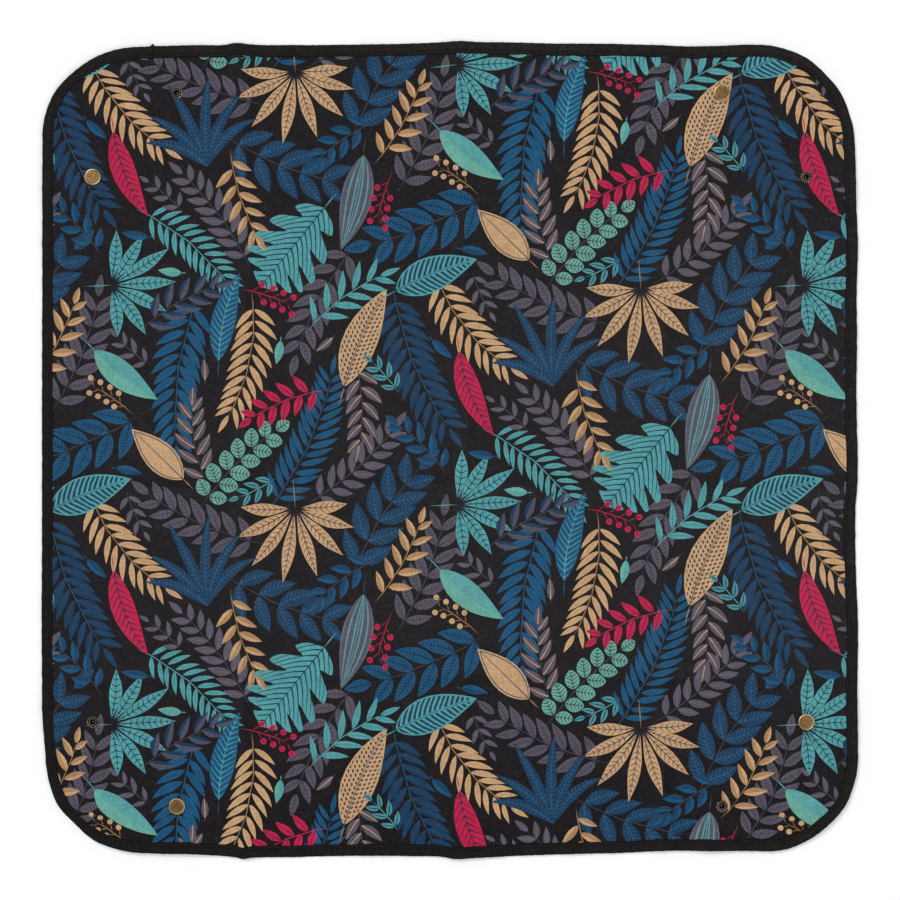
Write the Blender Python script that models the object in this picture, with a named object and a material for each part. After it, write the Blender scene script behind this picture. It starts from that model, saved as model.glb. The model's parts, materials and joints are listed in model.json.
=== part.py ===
"""A square repotting mat lying flat, printed side up.

Coated cloth is bound round its edge with folded tape. Every corner has a press snap: a cap and its
socket on one side of the corner's diagonal, a stud and its eyelet on the other. Pinching a corner
along its diagonal and closing the snap stands the edges up as the walls of a tray.

The cloth is divided along its fold lines into flat panels. The base carries four walls, and each
wall carries half of the gusset at either end. Origin: centre of the mat, at the lowest point, +Z up.
"""

import math

import bmesh
import bpy
from mathutils import Vector

mm = 0.001

# Driving sizes of the mat
mat_side = 750.0 * mm
corner_radius = 90.0 * mm
wall_height = 133.0 * mm
cloth_thickness = 0.6 * mm

# Tape folded over the edge
tape_cover = 12.0 * mm
tape_thickness = 0.6 * mm
tape_edge_room = 0.35 * mm

# Places of the snaps
snap_from_edge = 47.0 * mm
snap_beyond_base = 8.5 * mm

# Gaps and set-backs
seat_gap = 0.25 * mm
closing_gap = 0.25 * mm
hinge_setback = 0.4 * mm
tape_hinge_setback = 0.7 * mm
crease_setback = 0.3 * mm

# Cap of a snap, with the hollow post that rivets it to its socket
cap_radius = 7.5 * mm
cap_height = 1.3 * mm
cap_rim_width = 1.1 * mm
cap_rim_rise = 0.15 * mm
cap_edge_drop = 0.5 * mm
cap_edge_tuck = 0.4 * mm
post_radius = 2.2 * mm
post_bore_radius = 1.5 * mm
rivet_roll_radius = 2.8 * mm
rivet_roll_thickness = 0.3 * mm

# Socket of a snap, and the ring spring in its groove
socket_height = 3.0 * mm
socket_plate = 0.3 * mm
socket_flange_radius = 6.2 * mm
socket_flange_thickness = 0.8 * mm
socket_boss_radius = 4.8 * mm
socket_boss_round = 0.5 * mm
socket_lip = 0.2 * mm
spring_wire_radius = 0.3 * mm
spring_room = 0.1 * mm
spring_groove_depth = 0.35 * mm

# Stud of a snap
stud_flange_radius = 5.8 * mm
stud_flange_thickness = 0.6 * mm
stud_edge_round = 0.15 * mm
knob_radius = 2.9 * mm
knob_neck_radius = 2.45 * mm
knob_neck_length = 0.98 * mm
knob_shoulder = 0.3 * mm
knob_tip_round = 0.35 * mm
knob_clearance = 0.2 * mm
knob_to_spring = 0.15 * mm
stud_counterbore_radius = 2.3 * mm

# Eyelet that rivets the stud, seen as a grooved ring on the printed side
eyelet_flange_radius = 5.5 * mm
eyelet_flange_thickness = 0.4 * mm
eyelet_edge_round = 0.2 * mm
eyelet_ring_radius = 3.5 * mm
eyelet_ring_rise = 0.3 * mm
eyelet_ring_slope = 0.5 * mm
eyelet_mouth_radius = 2.1 * mm
eyelet_hole_radius = 1.1 * mm
eyelet_barrel_radius = 1.5 * mm
eyelet_roll_radius = 2.0 * mm

# Fineness of round stretches
turned_steps = 24
spring_sides = 6
corner_arc_steps = 6
tape_outer_steps = 6
tape_inner_steps = 4
hole_steps = 16
smooth_angle = math.radians(40)

# Sizes that follow from the ones above
half_side = mat_side / 2
base_half = half_side - wall_height
half_cloth = cloth_thickness / 2
seat = half_cloth + seat_gap

# The two halves of a gusset lie this far apart, back to back, when the snap is shut
back_to_back = (
    seat_gap + socket_height + closing_gap + stud_flange_thickness + seat_gap
)
gusset_offset = (back_to_back + cloth_thickness) / math.sqrt(2)
wall_half = base_half - gusset_offset
cloth_mid_z = seat + socket_height

# Heights on a snap, down from the cloth's middle
socket_mouth = seat + socket_height
roll_top = seat + socket_plate + seat_gap
roll_bottom = roll_top + rivet_roll_thickness
knob_tip = half_cloth + back_to_back - (roll_bottom - half_cloth) - closing_gap
stud_face = seat + stud_flange_thickness
recess_radius = knob_radius + knob_clearance
spring_ring_radius = knob_neck_radius + knob_to_spring + spring_wire_radius
spring_middle = socket_mouth - socket_lip - spring_room - spring_wire_radius

# The tape's section, measured inwards from the edge of the mat
tape_inner_half = half_cloth + seat_gap
tape_outer_half = tape_inner_half + tape_thickness
cloth_edge_inset = tape_thickness + tape_edge_room

# Places in a gusset's own frame: along from the hinge to its wall, out from the base line
snap_along = snap_beyond_base + gusset_offset
snap_out = wall_height - snap_from_edge
arc_centre_along = wall_height - corner_radius + gusset_offset
arc_centre_out = wall_height - corner_radius

walls = ("north", "east", "south", "west")
corners = ("northeast", "southeast", "southwest", "northwest")
quarter_turn = math.pi / 2


def clear_scene():
    for obj in list(bpy.data.objects):
        bpy.data.objects.remove(obj, do_unlink=True)


def material(name, colour, roughness, metallic):
    made = bpy.data.materials.new(name)
    made.use_nodes = True
    surface = made.node_tree.nodes["Principled BSDF"]
    surface.inputs["Base Color"].default_value = (*colour, 1)
    surface.inputs["Roughness"].default_value = roughness
    surface.inputs["Metallic"].default_value = metallic
    return made


def linked(obj, parent, place=(0, 0, 0)):
    """Puts an object in the scene under its parent, at a place in the parent's frame."""
    bpy.context.scene.collection.objects.link(obj)
    obj.parent = parent
    obj.location = place
    return obj


def hinge(name, place, turn, parent):
    """An empty on a fold line: what folds there is parented to it."""
    empty = bpy.data.objects.new(name, None)
    empty.empty_display_size = snap_from_edge
    empty.rotation_euler = (0, 0, turn)
    return linked(empty, parent, place)


def finish_mesh(bm, name, surface):
    bmesh.ops.recalc_face_normals(bm, faces=bm.faces)
    mesh = bpy.data.meshes.new(name)
    bm.to_mesh(mesh)
    bm.free()
    mesh.materials.append(surface)
    mesh.shade_smooth()
    mesh.set_sharp_from_angle(angle=smooth_angle)
    return mesh


def turned(name, outline, surface):
    """A solid turned about Z from (radius, height) points, closed or ending on the axis."""
    bm = bmesh.new()
    points = [bm.verts.new((radius, 0, height)) for radius, height in outline]
    pairs = list(zip(points, points[1:]))
    if outline[0][0] > 0:
        pairs.append((points[-1], points[0]))
    edges = [bm.edges.new(pair) for pair in pairs]
    bmesh.ops.spin(
        bm,
        geom=points + edges,
        cent=(0, 0, 0),
        axis=(0, 0, 1),
        angle=2 * math.pi,
        steps=turned_steps,
        use_merge=True,
    )
    on_axis = [v for v in bm.verts if math.hypot(v.co.x, v.co.y) < seat_gap / 1000]
    bmesh.ops.remove_doubles(bm, verts=on_axis, dist=seat_gap / 1000)
    return finish_mesh(bm, name, surface)


def arc(centre, radius, start, end, steps):
    """Points of an arc in a plane, both ends included."""
    turns = [start + (end - start) * i / steps for i in range(steps + 1)]
    return [
        (centre[0] + radius * math.cos(a), centre[1] + radius * math.sin(a))
        for a in turns
    ]


def cloth_panel(name, outline, hole, surface):
    """Flat cloth between its two faces, from an outline in the plane and an optional round hole."""
    curve = bpy.data.curves.new(name, "CURVE")
    curve.dimensions = "2D"
    curve.fill_mode = "BOTH"
    curve.extrude = half_cloth
    for loop in (outline, hole):
        if not loop:
            continue
        spline = curve.splines.new("POLY")
        spline.points.add(len(loop) - 1)
        for point, (x, y) in zip(spline.points, loop):
            point.co = (x, y, 0, 1)
        spline.use_cyclic_u = True
    curve.materials.append(surface)
    return curve


def rectangle(x0, y0, x1, y1):
    return [(x0, y0), (x1, y0), (x1, y1), (x0, y1)]


def gusset_outline(side):
    """Half of a corner: from the hinge line along the base, up the diagonal, round the corner and back."""
    edge_radius = corner_radius - cloth_edge_inset
    lean = math.asin(crease_setback / edge_radius)
    inner_end = hinge_setback + gusset_offset - crease_setback * math.sqrt(2)
    round_part = arc(
        (arc_centre_along, arc_centre_out),
        edge_radius,
        math.pi / 4 + lean,
        math.pi / 2,
        corner_arc_steps,
    )
    outer = wall_height - cloth_edge_inset
    points = [(hinge_setback, hinge_setback), (inner_end, hinge_setback)]
    points += round_part + [(hinge_setback, outer)]
    return [(side * x, y) for x, y in points]


def snap_hole(side, radius):
    return arc((side * snap_along, snap_out), radius, 0, 2 * math.pi, hole_steps)[:-1]


def tape_section():
    """Folded tape as (inwards from the edge, height) points: the outer skin, then the inner one."""
    outer = arc(
        (tape_outer_half, 0),
        tape_outer_half,
        math.pi / 2,
        math.pi * 3 / 2,
        tape_outer_steps,
    )
    inner = arc(
        (tape_outer_half, 0),
        tape_inner_half,
        math.pi * 3 / 2,
        math.pi / 2,
        tape_inner_steps,
    )
    top = [(tape_cover, tape_inner_half), (tape_cover, tape_outer_half)]
    bottom = [(tape_cover, -tape_outer_half), (tape_cover, -tape_inner_half)]
    return outer + bottom + inner + top


def swept_tape(name, stations, surface):
    """Tape along the edge. A station is a point of the edge and the inward direction there."""
    bm = bmesh.new()
    loops = []
    for edge_point, inward in stations:
        places = [
            Vector((*(edge_point + inward * depth), height))
            for depth, height in tape_section()
        ]
        loops.append([bm.verts.new(place) for place in places])
    for first, second in zip(loops, loops[1:]):
        for i in range(len(first)):
            j = (i + 1) % len(first)
            bm.faces.new((first[i], first[j], second[j], second[i]))
    bm.faces.new(loops[0])
    bm.faces.new(loops[-1][::-1])
    return finish_mesh(bm, name, surface)


def wall_tape_stations():
    inward = Vector((0, -1))
    reach = wall_half - tape_hinge_setback
    return [(Vector((x, wall_height)), inward) for x in (-reach, reach)]


def gusset_tape_stations(side):
    """Straight from the hinge, then round the corner to the diagonal."""
    lean = math.asin(crease_setback / (corner_radius - tape_cover))
    centre = Vector((arc_centre_along, arc_centre_out))
    stations = [(Vector((side * tape_hinge_setback, wall_height)), Vector((0, -1)))]
    start = math.pi / 2
    end = math.pi / 4 + lean
    for i in range(corner_arc_steps + 1):
        a = start + (end - start) * i / corner_arc_steps
        out = Vector((math.cos(a), math.sin(a)))
        edge_point = centre + out * corner_radius
        stations.append(
            (Vector((side * edge_point.x, edge_point.y)), Vector((-side * out.x, -out.y)))
        )
    return stations


def cap_outline():
    """Flat face inside a rounded rim, with a hollow post rolled over below the socket's plate."""
    top = seat + cap_height
    face_radius = cap_radius - cap_rim_width
    return [
        (0, top - cap_rim_rise),
        (face_radius, top - cap_rim_rise),
        (face_radius + cap_rim_width / 3, top),
        (cap_radius - cap_rim_width / 4, top - cap_edge_drop / 4),
        (cap_radius, top - cap_edge_drop),
        (cap_radius, seat + cap_edge_drop / 2),
        (cap_radius - cap_edge_tuck, seat),
        (post_radius, seat),
        (post_radius, -roll_top),
        (rivet_roll_radius, -roll_top),
        (rivet_roll_radius, -roll_bottom),
        (post_bore_radius, -roll_bottom),
        (post_bore_radius, -half_cloth),
        (0, -half_cloth + rivet_roll_thickness),
    ]


def socket_outline():
    """Flange against the cloth, boss with a recess for the knob, and the spring's groove in its wall."""
    boss_foot = seat + socket_flange_thickness
    hole = post_radius + seat_gap
    groove_radius = recess_radius + spring_groove_depth
    groove_low = spring_middle + spring_wire_radius + spring_room
    groove_high = spring_middle - spring_wire_radius - spring_room
    lead = socket_lip / 2
    return [
        (hole, -seat),
        (socket_flange_radius - stud_edge_round, -seat),
        (socket_flange_radius, -seat - stud_edge_round),
        (socket_flange_radius, -boss_foot + stud_edge_round),
        (socket_flange_radius - stud_edge_round, -boss_foot),
        (socket_boss_radius + stud_edge_round, -boss_foot),
        (socket_boss_radius, -boss_foot - stud_edge_round),
        (socket_boss_radius, -socket_mouth + socket_boss_round),
        (socket_boss_radius - socket_boss_round, -socket_mouth),
        (recess_radius + lead, -socket_mouth),
        (recess_radius, -socket_mouth + lead),
        (recess_radius, -groove_low),
        (groove_radius, -groove_low),
        (groove_radius, -groove_high),
        (recess_radius, -groove_high),
        (recess_radius, -seat - socket_plate),
        (hole, -seat - socket_plate),
    ]


def spring_outline():
    """Round wire of the ring that grips the knob's neck."""
    return arc(
        (spring_ring_radius, -spring_middle),
        spring_wire_radius,
        0,
        2 * math.pi,
        spring_sides,
    )[:-1]


def stud_outline():
    """Flange against the cloth and a knob with a neck, a shoulder and a rounded tip."""
    bore = eyelet_barrel_radius + seat_gap
    neck_end = stud_face + knob_neck_length
    counterbore_top = knob_tip - rivet_roll_thickness - 2 * seat_gap
    return [
        (bore, -seat),
        (stud_flange_radius - stud_edge_round, -seat),
        (stud_flange_radius, -seat - stud_edge_round),
        (stud_flange_radius, -stud_face + stud_edge_round),
        (stud_flange_radius - stud_edge_round, -stud_face),
        (knob_neck_radius, -stud_face),
        (knob_neck_radius, -neck_end),
        (knob_radius, -neck_end - knob_shoulder),
        (knob_radius, -knob_tip + knob_tip_round),
        (knob_radius - knob_tip_round, -knob_tip),
        (stud_counterbore_radius, -knob_tip),
        (stud_counterbore_radius, -counterbore_top),
        (bore, -counterbore_top),
    ]


def eyelet_outline():
    """Flange with a raised inner ring, a funnel mouth and a barrel rolled over inside the knob."""
    flange_top = seat + eyelet_flange_thickness
    ring_top = flange_top + eyelet_ring_rise
    barrel_end = knob_tip - seat_gap
    return [
        (eyelet_barrel_radius, seat),
        (eyelet_flange_radius - eyelet_edge_round, seat),
        (eyelet_flange_radius, seat + eyelet_edge_round),
        (eyelet_flange_radius - eyelet_edge_round, flange_top),
        (eyelet_ring_radius + eyelet_ring_slope, flange_top - eyelet_ring_rise / 2),
        (eyelet_ring_radius, ring_top - eyelet_ring_rise / 4),
        (eyelet_ring_radius - eyelet_ring_slope, ring_top),
        (eyelet_mouth_radius, ring_top - eyelet_ring_rise / 4),
        (eyelet_hole_radius, -half_cloth),
        (eyelet_hole_radius, -barrel_end),
        (eyelet_roll_radius, -barrel_end),
        (eyelet_roll_radius, -barrel_end + rivet_roll_thickness),
        (eyelet_barrel_radius, -barrel_end + rivet_roll_thickness),
    ]


def make_materials():
    return {
        "cloth": material("printed_cloth", (0.055, 0.11, 0.13), 0.75, 0.0),
        "tape": material("binding_tape", (0.012, 0.012, 0.013), 0.85, 0.0),
        "brass": material("antique_brass", (0.30, 0.20, 0.09), 0.35, 1.0),
        "dark": material("gunmetal", (0.10, 0.095, 0.09), 0.4, 1.0),
        "steel": material("spring_steel", (0.45, 0.45, 0.45), 0.3, 1.0),
    }


def make_shapes(surfaces):
    """Each shape once. The copies round the mat share it."""
    cloth = surfaces["cloth"]
    tape = surfaces["tape"]
    post_hole = post_radius + seat_gap
    barrel_hole = eyelet_barrel_radius + seat_gap
    base_reach = base_half - hinge_setback
    wall_reach = wall_half - hinge_setback
    outer = wall_height - cloth_edge_inset
    base = rectangle(-base_reach, -base_reach, base_reach, base_reach)
    wall = rectangle(-wall_reach, hinge_setback, wall_reach, outer)
    return {
        "base": cloth_panel("base_cloth", base, None, cloth),
        "wall": cloth_panel("wall_cloth", wall, None, cloth),
        "cap_half": cloth_panel(
            "cap_gusset_cloth", gusset_outline(1), snap_hole(1, post_hole), cloth
        ),
        "stud_half": cloth_panel(
            "stud_gusset_cloth", gusset_outline(-1), snap_hole(-1, barrel_hole), cloth
        ),
        "wall_tape": swept_tape("wall_tape", wall_tape_stations(), tape),
        "cap_half_tape": swept_tape("cap_gusset_tape", gusset_tape_stations(1), tape),
        "stud_half_tape": swept_tape("stud_gusset_tape", gusset_tape_stations(-1), tape),
        "cap": turned("snap_cap", cap_outline(), surfaces["brass"]),
        "socket": turned("snap_socket", socket_outline(), surfaces["brass"]),
        "spring": turned("snap_spring", spring_outline(), surfaces["steel"]),
        "stud": turned("snap_stud", stud_outline(), surfaces["dark"]),
        "eyelet": turned("snap_eyelet", eyelet_outline(), surfaces["dark"]),
    }


def piece(name, shape, parent, place=(0, 0, 0)):
    return linked(bpy.data.objects.new(name, shape), parent, place)


def make_side(index, shapes, base):
    """One wall, the gusset halves at its two ends, and the snap pieces on them."""
    name = walls[index]
    after = walls[(index + 1) % len(walls)]
    before = walls[index - 1]
    turn = -index * quarter_turn
    line = (base_half * math.sin(-turn), base_half * math.cos(turn), 0)
    fold = hinge(f"{name}_fold", line, turn, base)
    piece(f"cloth_{name}_wall", shapes["wall"], fold)
    piece(f"binding_{name}_wall", shapes["wall_tape"], fold)

    cap_fold = hinge(f"{name}_{after}_fold", (wall_half, 0, 0), 0, fold)
    piece(f"cloth_{name}_gusset_{after}", shapes["cap_half"], cap_fold)
    piece(f"binding_{name}_gusset_{after}", shapes["cap_half_tape"], cap_fold)
    for part in ("cap", "socket", "spring"):
        place = (snap_along, snap_out, 0)
        piece(f"{part}_{corners[index]}", shapes[part], cap_fold, place)

    stud_fold = hinge(f"{name}_{before}_fold", (-wall_half, 0, 0), 0, fold)
    piece(f"cloth_{name}_gusset_{before}", shapes["stud_half"], stud_fold)
    piece(f"binding_{name}_gusset_{before}", shapes["stud_half_tape"], stud_fold)
    for part in ("stud", "eyelet"):
        place = (-snap_along, snap_out, 0)
        piece(f"{part}_{corners[index - 1]}", shapes[part], stud_fold, place)


def main():
    clear_scene()
    shapes = make_shapes(make_materials())
    base = hinge("mat", (0, 0, cloth_mid_z), 0, None)
    piece("cloth_base", shapes["base"], base)
    for index in range(len(walls)):
        make_side(index, shapes, base)


main()
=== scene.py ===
"""A square repotting mat: printed cloth, a bound edge and a press snap at each corner."""

import cmath
import json
import math
import random
from collections import defaultdict, namedtuple
from functools import reduce

import bmesh
import bpy
import numpy as np
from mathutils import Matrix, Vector
from mathutils.geometry import delaunay_2d_cdt


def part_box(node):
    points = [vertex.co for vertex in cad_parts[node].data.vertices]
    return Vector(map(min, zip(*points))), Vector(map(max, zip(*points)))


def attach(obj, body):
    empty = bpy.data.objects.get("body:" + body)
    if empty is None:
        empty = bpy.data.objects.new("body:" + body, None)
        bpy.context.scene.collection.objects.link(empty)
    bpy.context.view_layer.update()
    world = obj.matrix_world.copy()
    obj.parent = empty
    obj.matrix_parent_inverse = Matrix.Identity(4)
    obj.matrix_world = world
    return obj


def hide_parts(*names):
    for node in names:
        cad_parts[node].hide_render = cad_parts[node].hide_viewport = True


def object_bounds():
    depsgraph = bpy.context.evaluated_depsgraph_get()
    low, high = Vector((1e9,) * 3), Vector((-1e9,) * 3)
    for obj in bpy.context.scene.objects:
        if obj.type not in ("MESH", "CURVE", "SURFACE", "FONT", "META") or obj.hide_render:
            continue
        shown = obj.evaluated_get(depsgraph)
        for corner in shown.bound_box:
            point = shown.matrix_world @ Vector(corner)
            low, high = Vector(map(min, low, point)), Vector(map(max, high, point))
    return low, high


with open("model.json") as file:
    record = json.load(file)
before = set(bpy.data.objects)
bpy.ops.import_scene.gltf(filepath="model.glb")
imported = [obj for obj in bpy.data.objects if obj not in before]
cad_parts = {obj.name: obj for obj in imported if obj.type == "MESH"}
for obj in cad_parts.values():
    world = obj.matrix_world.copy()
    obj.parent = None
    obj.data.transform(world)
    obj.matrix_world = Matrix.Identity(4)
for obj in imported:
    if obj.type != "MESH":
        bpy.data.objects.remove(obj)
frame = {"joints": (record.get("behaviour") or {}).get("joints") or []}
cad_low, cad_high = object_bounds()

# Lengths are in millimetres until a mesh is made.
MM = 0.001
JOINTS = {joint["name"]: joint for joint in frame["joints"]}

# Sizes of the laid mat, from the frame
MAT_HALF = cad_high.x / MM
BASE_HALF = JOINTS["north_wall_fold"]["pos_m"][1] / MM
CLOTH_MID = JOINTS["north_wall_fold"]["pos_m"][2] / MM
WALL_HALF = JOINTS["north_gusset_east_fold"]["pos_m"][0] / MM
CORNER_RADIUS = 90.0
ARC_CENTRE = MAT_HALF - CORNER_RADIUS
HALF_CLOTH = 0.3
HALF_RIM = 0.05
CLOTH_INSET = 0.95

# The cloth's mesh
EDGE_STEP = 5.0
TOP_STEP = 5.0
BACK_STEP = 8.0
ROW_STEP = 0.866
NEAR = 0.001

# The folded tape
TAPE_STEP = 2.0
SEAM_IN = 10.3
STITCH_LENGTH = 2.9
STITCH_GAP = 0.8
THREAD_RADIUS = 0.24
OUTER_SIDE = 31
FOLD_POINT = 15
JOIN_BODY = "north_gusset_west"
JOIN_AT = -273.0
JOIN_HALF = 6.0
# How far the tape's inner edge lies out from its straight line on each side, read from the photo
NARROW = {"north": 0.9, "east": 1.4, "south": 1.2, "west": 2.1}
BEND_IN = 6.0

# Where the snaps are: the same four pairs in the order of the walls
WALLS = ("north", "east", "south", "west")
CORNERS = ("northeast", "southeast", "southwest", "northwest")
CAP_HOLE = 2.2
EYELET_HOLE = 1.6


def snap_place(node):
    """A fitting's middle in the mat's plane."""
    low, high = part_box(node)
    return complex((low.x + high.x) / 2, (low.y + high.y) / 2) / MM


SNAPS = [(snap_place("cap_" + corner), CAP_HOLE) for corner in CORNERS]
SNAPS += [(snap_place("eyelet_" + corner), EYELET_HOLE) for corner in CORNERS]


# How the cloth lies: low waves, soft creases from storage, and edges drawn in between them
SINK_EDGE = 2.2
SINK_BASE = 1.7
SINK_GUSSET = 0.9
FLAT_ROUND_SNAP = 9.0
# Storage creases: (place, height of the crisp fold), and how their lines bow
CREASES_ACROSS = ((-190.0, 0.62), (14.0, 0.32), (198.0, 0.55))
CREASES_ALONG = ((188.0, 0.2), (-35.0, -0.75), (-208.0, 0.42))
CREASE_WIDTH = 2.2
CREASE_BOW = 1.6
BOW_ACROSS = 83.0
BOW_ALONG = 77.0
DRAW_START = 322.0
DRAW_LENGTH = 32.0

# How far out each edge is drawn: (place along it, millimetres), read from the photo
EDGE_DRAW = {
    "north": ((-320, -4.3), (-285, -4.6), (-262, -3.8), (-229, -3.0), (-207, -2.5), (-196, -0.8),
              (-185, -2.0), (-141, -2.6), (-97, -2.3), (-42, -1.5), (-9, -0.2), (13, 0.8), (24, 0.1),
              (58, -0.2), (91, -1.1), (157, -1.7), (190, -2.8), (223, -4.1), (245, -3.9), (273, -2.6),
              (311, -3.3)),
    "east": ((-311, 0.0), (-289, 0.8), (-223, 0.3), (-201, 0.8), (-157, 1.0), (-135, 0.1), (-91, -1.2),
             (-46, -0.7), (-35, 0.3), (-13, 0.9), (20, 0.0), (53, -0.5), (97, 0.1), (152, 0.0),
             (174, 0.8), (207, 0.4), (229, -0.8), (263, -1.3), (285, -2.2), (307, -3.7)),
    "south": ((-307, -5.0), (-262, -3.0), (-240, -2.8), (-218, -1.5), (-204, -0.4), (-197, 0.4),
              (-190, 1.9), (-182, 0.7), (-174, 0.5), (-141, 0.3), (-108, -0.6), (-64, -1.0),
              (-31, -0.6), (-5, 0.2), (3, 1.6), (24, 0.9), (58, -0.7), (113, -2.6), (168, -4.0),
              (190, -5.3), (245, -5.5), (289, -5.1), (311, -3.4)),
    "west": ((-311, -4.3), (-289, -3.7), (-267, -2.1), (-245, -0.6), (-212, 0.0), (-60, 0.1), (60, 0.1),
             (240, -0.4), (285, -0.5), (307, -0.1)),
}


def smooth(value):
    t = np.clip(value, 0, 1)
    return t * t * (3 - 2 * t)


def fold_distance(x, y):
    """Distance to the nearest line on which the mat folds, and how far out the place is."""
    low = np.minimum(np.abs(x), np.abs(y))
    out = np.maximum(np.abs(x), np.abs(y))
    base = BASE_HALF - out
    wall = np.minimum(out - BASE_HALF, WALL_HALF - low)
    gusset = np.minimum(np.minimum(low - WALL_HALF, out - BASE_HALF), (out - low) / math.sqrt(2))
    inside = np.where(low < WALL_HALF, wall, gusset)
    return np.maximum(np.where(out < BASE_HALF, base, inside), 0), low, out


def snap_distance(x, y):
    place = x + 1j * y
    return np.min([np.abs(place - centre) for centre, _ in SNAPS], axis=0)


def ridge(distance, height, width):
    return height * np.exp(-np.sqrt((distance / width) ** 2 + 0.04))


def lift(x, y):
    """Height of the laid cloth over its flat place."""
    fold, low, out = fold_distance(x, y)
    calm = smooth(fold / 26) * smooth((snap_distance(x, y) - FLAT_ROUND_SNAP) / 16)
    waves = 0.45 * np.sin(x / 57 + 0.5) * np.sin(y / 71 + 1.2)
    waves += 0.3 * np.sin((x + 0.6 * y) / 37 + 2.0) + 0.2 * np.sin((1.7 * x - y) / 29)
    crisp = np.zeros_like(x)
    for i, (place, height) in enumerate(CREASES_ACROSS):
        line = x - place - CREASE_BOW * np.sin(y / BOW_ACROSS + i)
        waves += ridge(line, 1.1, 14)
        crisp += height * np.exp(-((line / CREASE_WIDTH) ** 2)) * (0.65 + 0.35 * np.sin(y / 41 + 2 * i))
    for i, (place, height) in enumerate(CREASES_ALONG):
        line = y - place - CREASE_BOW * np.sin(x / BOW_ALONG + i)
        waves += ridge(line, 0.9, 14)
        crisp += height * np.exp(-((line / CREASE_WIDTH) ** 2)) * (0.65 + 0.35 * np.sin(x / 47 + i))
    edge = smooth((out - MAT_HALF + 34) / 30)
    along = np.where(np.abs(x) > np.abs(y), y, x)
    pucker = 0.16 * np.sin(along / 3.3) + 0.22 * np.sin(along / 5.9 + 1) + 0.2 * np.sin(along / 14)
    sink_wall = SINK_EDGE * smooth((out - BASE_HALF) / 90)
    sink = np.where(low > WALL_HALF, SINK_GUSSET, sink_wall)
    sink = np.where(out < BASE_HALF, SINK_BASE, sink)
    return calm * (waves + edge * pucker - sink) + crisp * smooth(snap_distance(x, y) / FLAT_ROUND_SNAP - 1)


def draw(side, along):
    """How far out an edge is drawn, on a smooth curve through its read places."""
    places, heights = np.array(EDGE_DRAW[side]).T
    slopes = np.gradient(heights, places)
    i = np.clip(np.searchsorted(places, along) - 1, 0, len(places) - 2)
    gap = places[i + 1] - places[i]
    t = np.clip((along - places[i]) / gap, 0, 1)
    rise = smooth(t) * (heights[i + 1] - heights[i])
    return heights[i] + rise + t * (1 - t) * gap * ((1 - t) * slopes[i] - t * slopes[i + 1])


def drawn(x, y):
    """A flat place moved in the plane, as the waves draw the mat's edges in and out."""
    pull_x = smooth((np.abs(x) - DRAW_START) / DRAW_LENGTH)
    pull_y = smooth((np.abs(y) - DRAW_START) / DRAW_LENGTH)
    move_x = np.where(x > 0, draw("east", y), -draw("west", y)) * pull_x
    move_y = np.where(y > 0, draw("north", x), -draw("south", x)) * pull_y
    return x + move_x, y + move_y


def laid(x, y, height):
    """Points of the flat mat, (x, y) with a height over the cloth's middle, as they lie."""
    px, py = drawn(x, y)
    return np.stack([px, py, height + CLOTH_MID + lift(x, y)], axis=-1)


def lift_normal(x, y):
    step = 0.4
    slope_x = (lift(x + step, y) - lift(x - step, y)) / (2 * step)
    slope_y = (lift(x, y + step) - lift(x, y - step)) / (2 * step)
    normal = np.stack([-slope_x, -slope_y, np.ones_like(x)], axis=-1)
    return normal / np.linalg.norm(normal, axis=-1, keepdims=True)


# Colours, as sRGB in parts of 255
def colour(red, green, blue):
    parts = [c / 255 for c in (red, green, blue)]
    return tuple(c / 12.92 if c < 0.04 else ((c + 0.055) / 1.055) ** 2.4 for c in parts)


GROUND = colour(14, 11, 15)
BARE = colour(160, 154, 152)
TEAL = colour(80, 153, 157)
MINT = colour(102, 166, 150)
BLUE = colour(17, 80, 117)
NAVY = colour(18, 54, 84)
NAVY_PALE = colour(40, 84, 116)
NAVY_DEEP = colour(12, 36, 60)
SAND = colour(195, 157, 116)
SAND_DEEP = colour(156, 118, 78)
CRIMSON = colour(190, 24, 70)
GREY = colour(86, 80, 92)
GREY_DEEP = colour(62, 58, 70)
GREY_PALE = colour(118, 110, 122)
STEM = colour(60, 62, 72)

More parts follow.
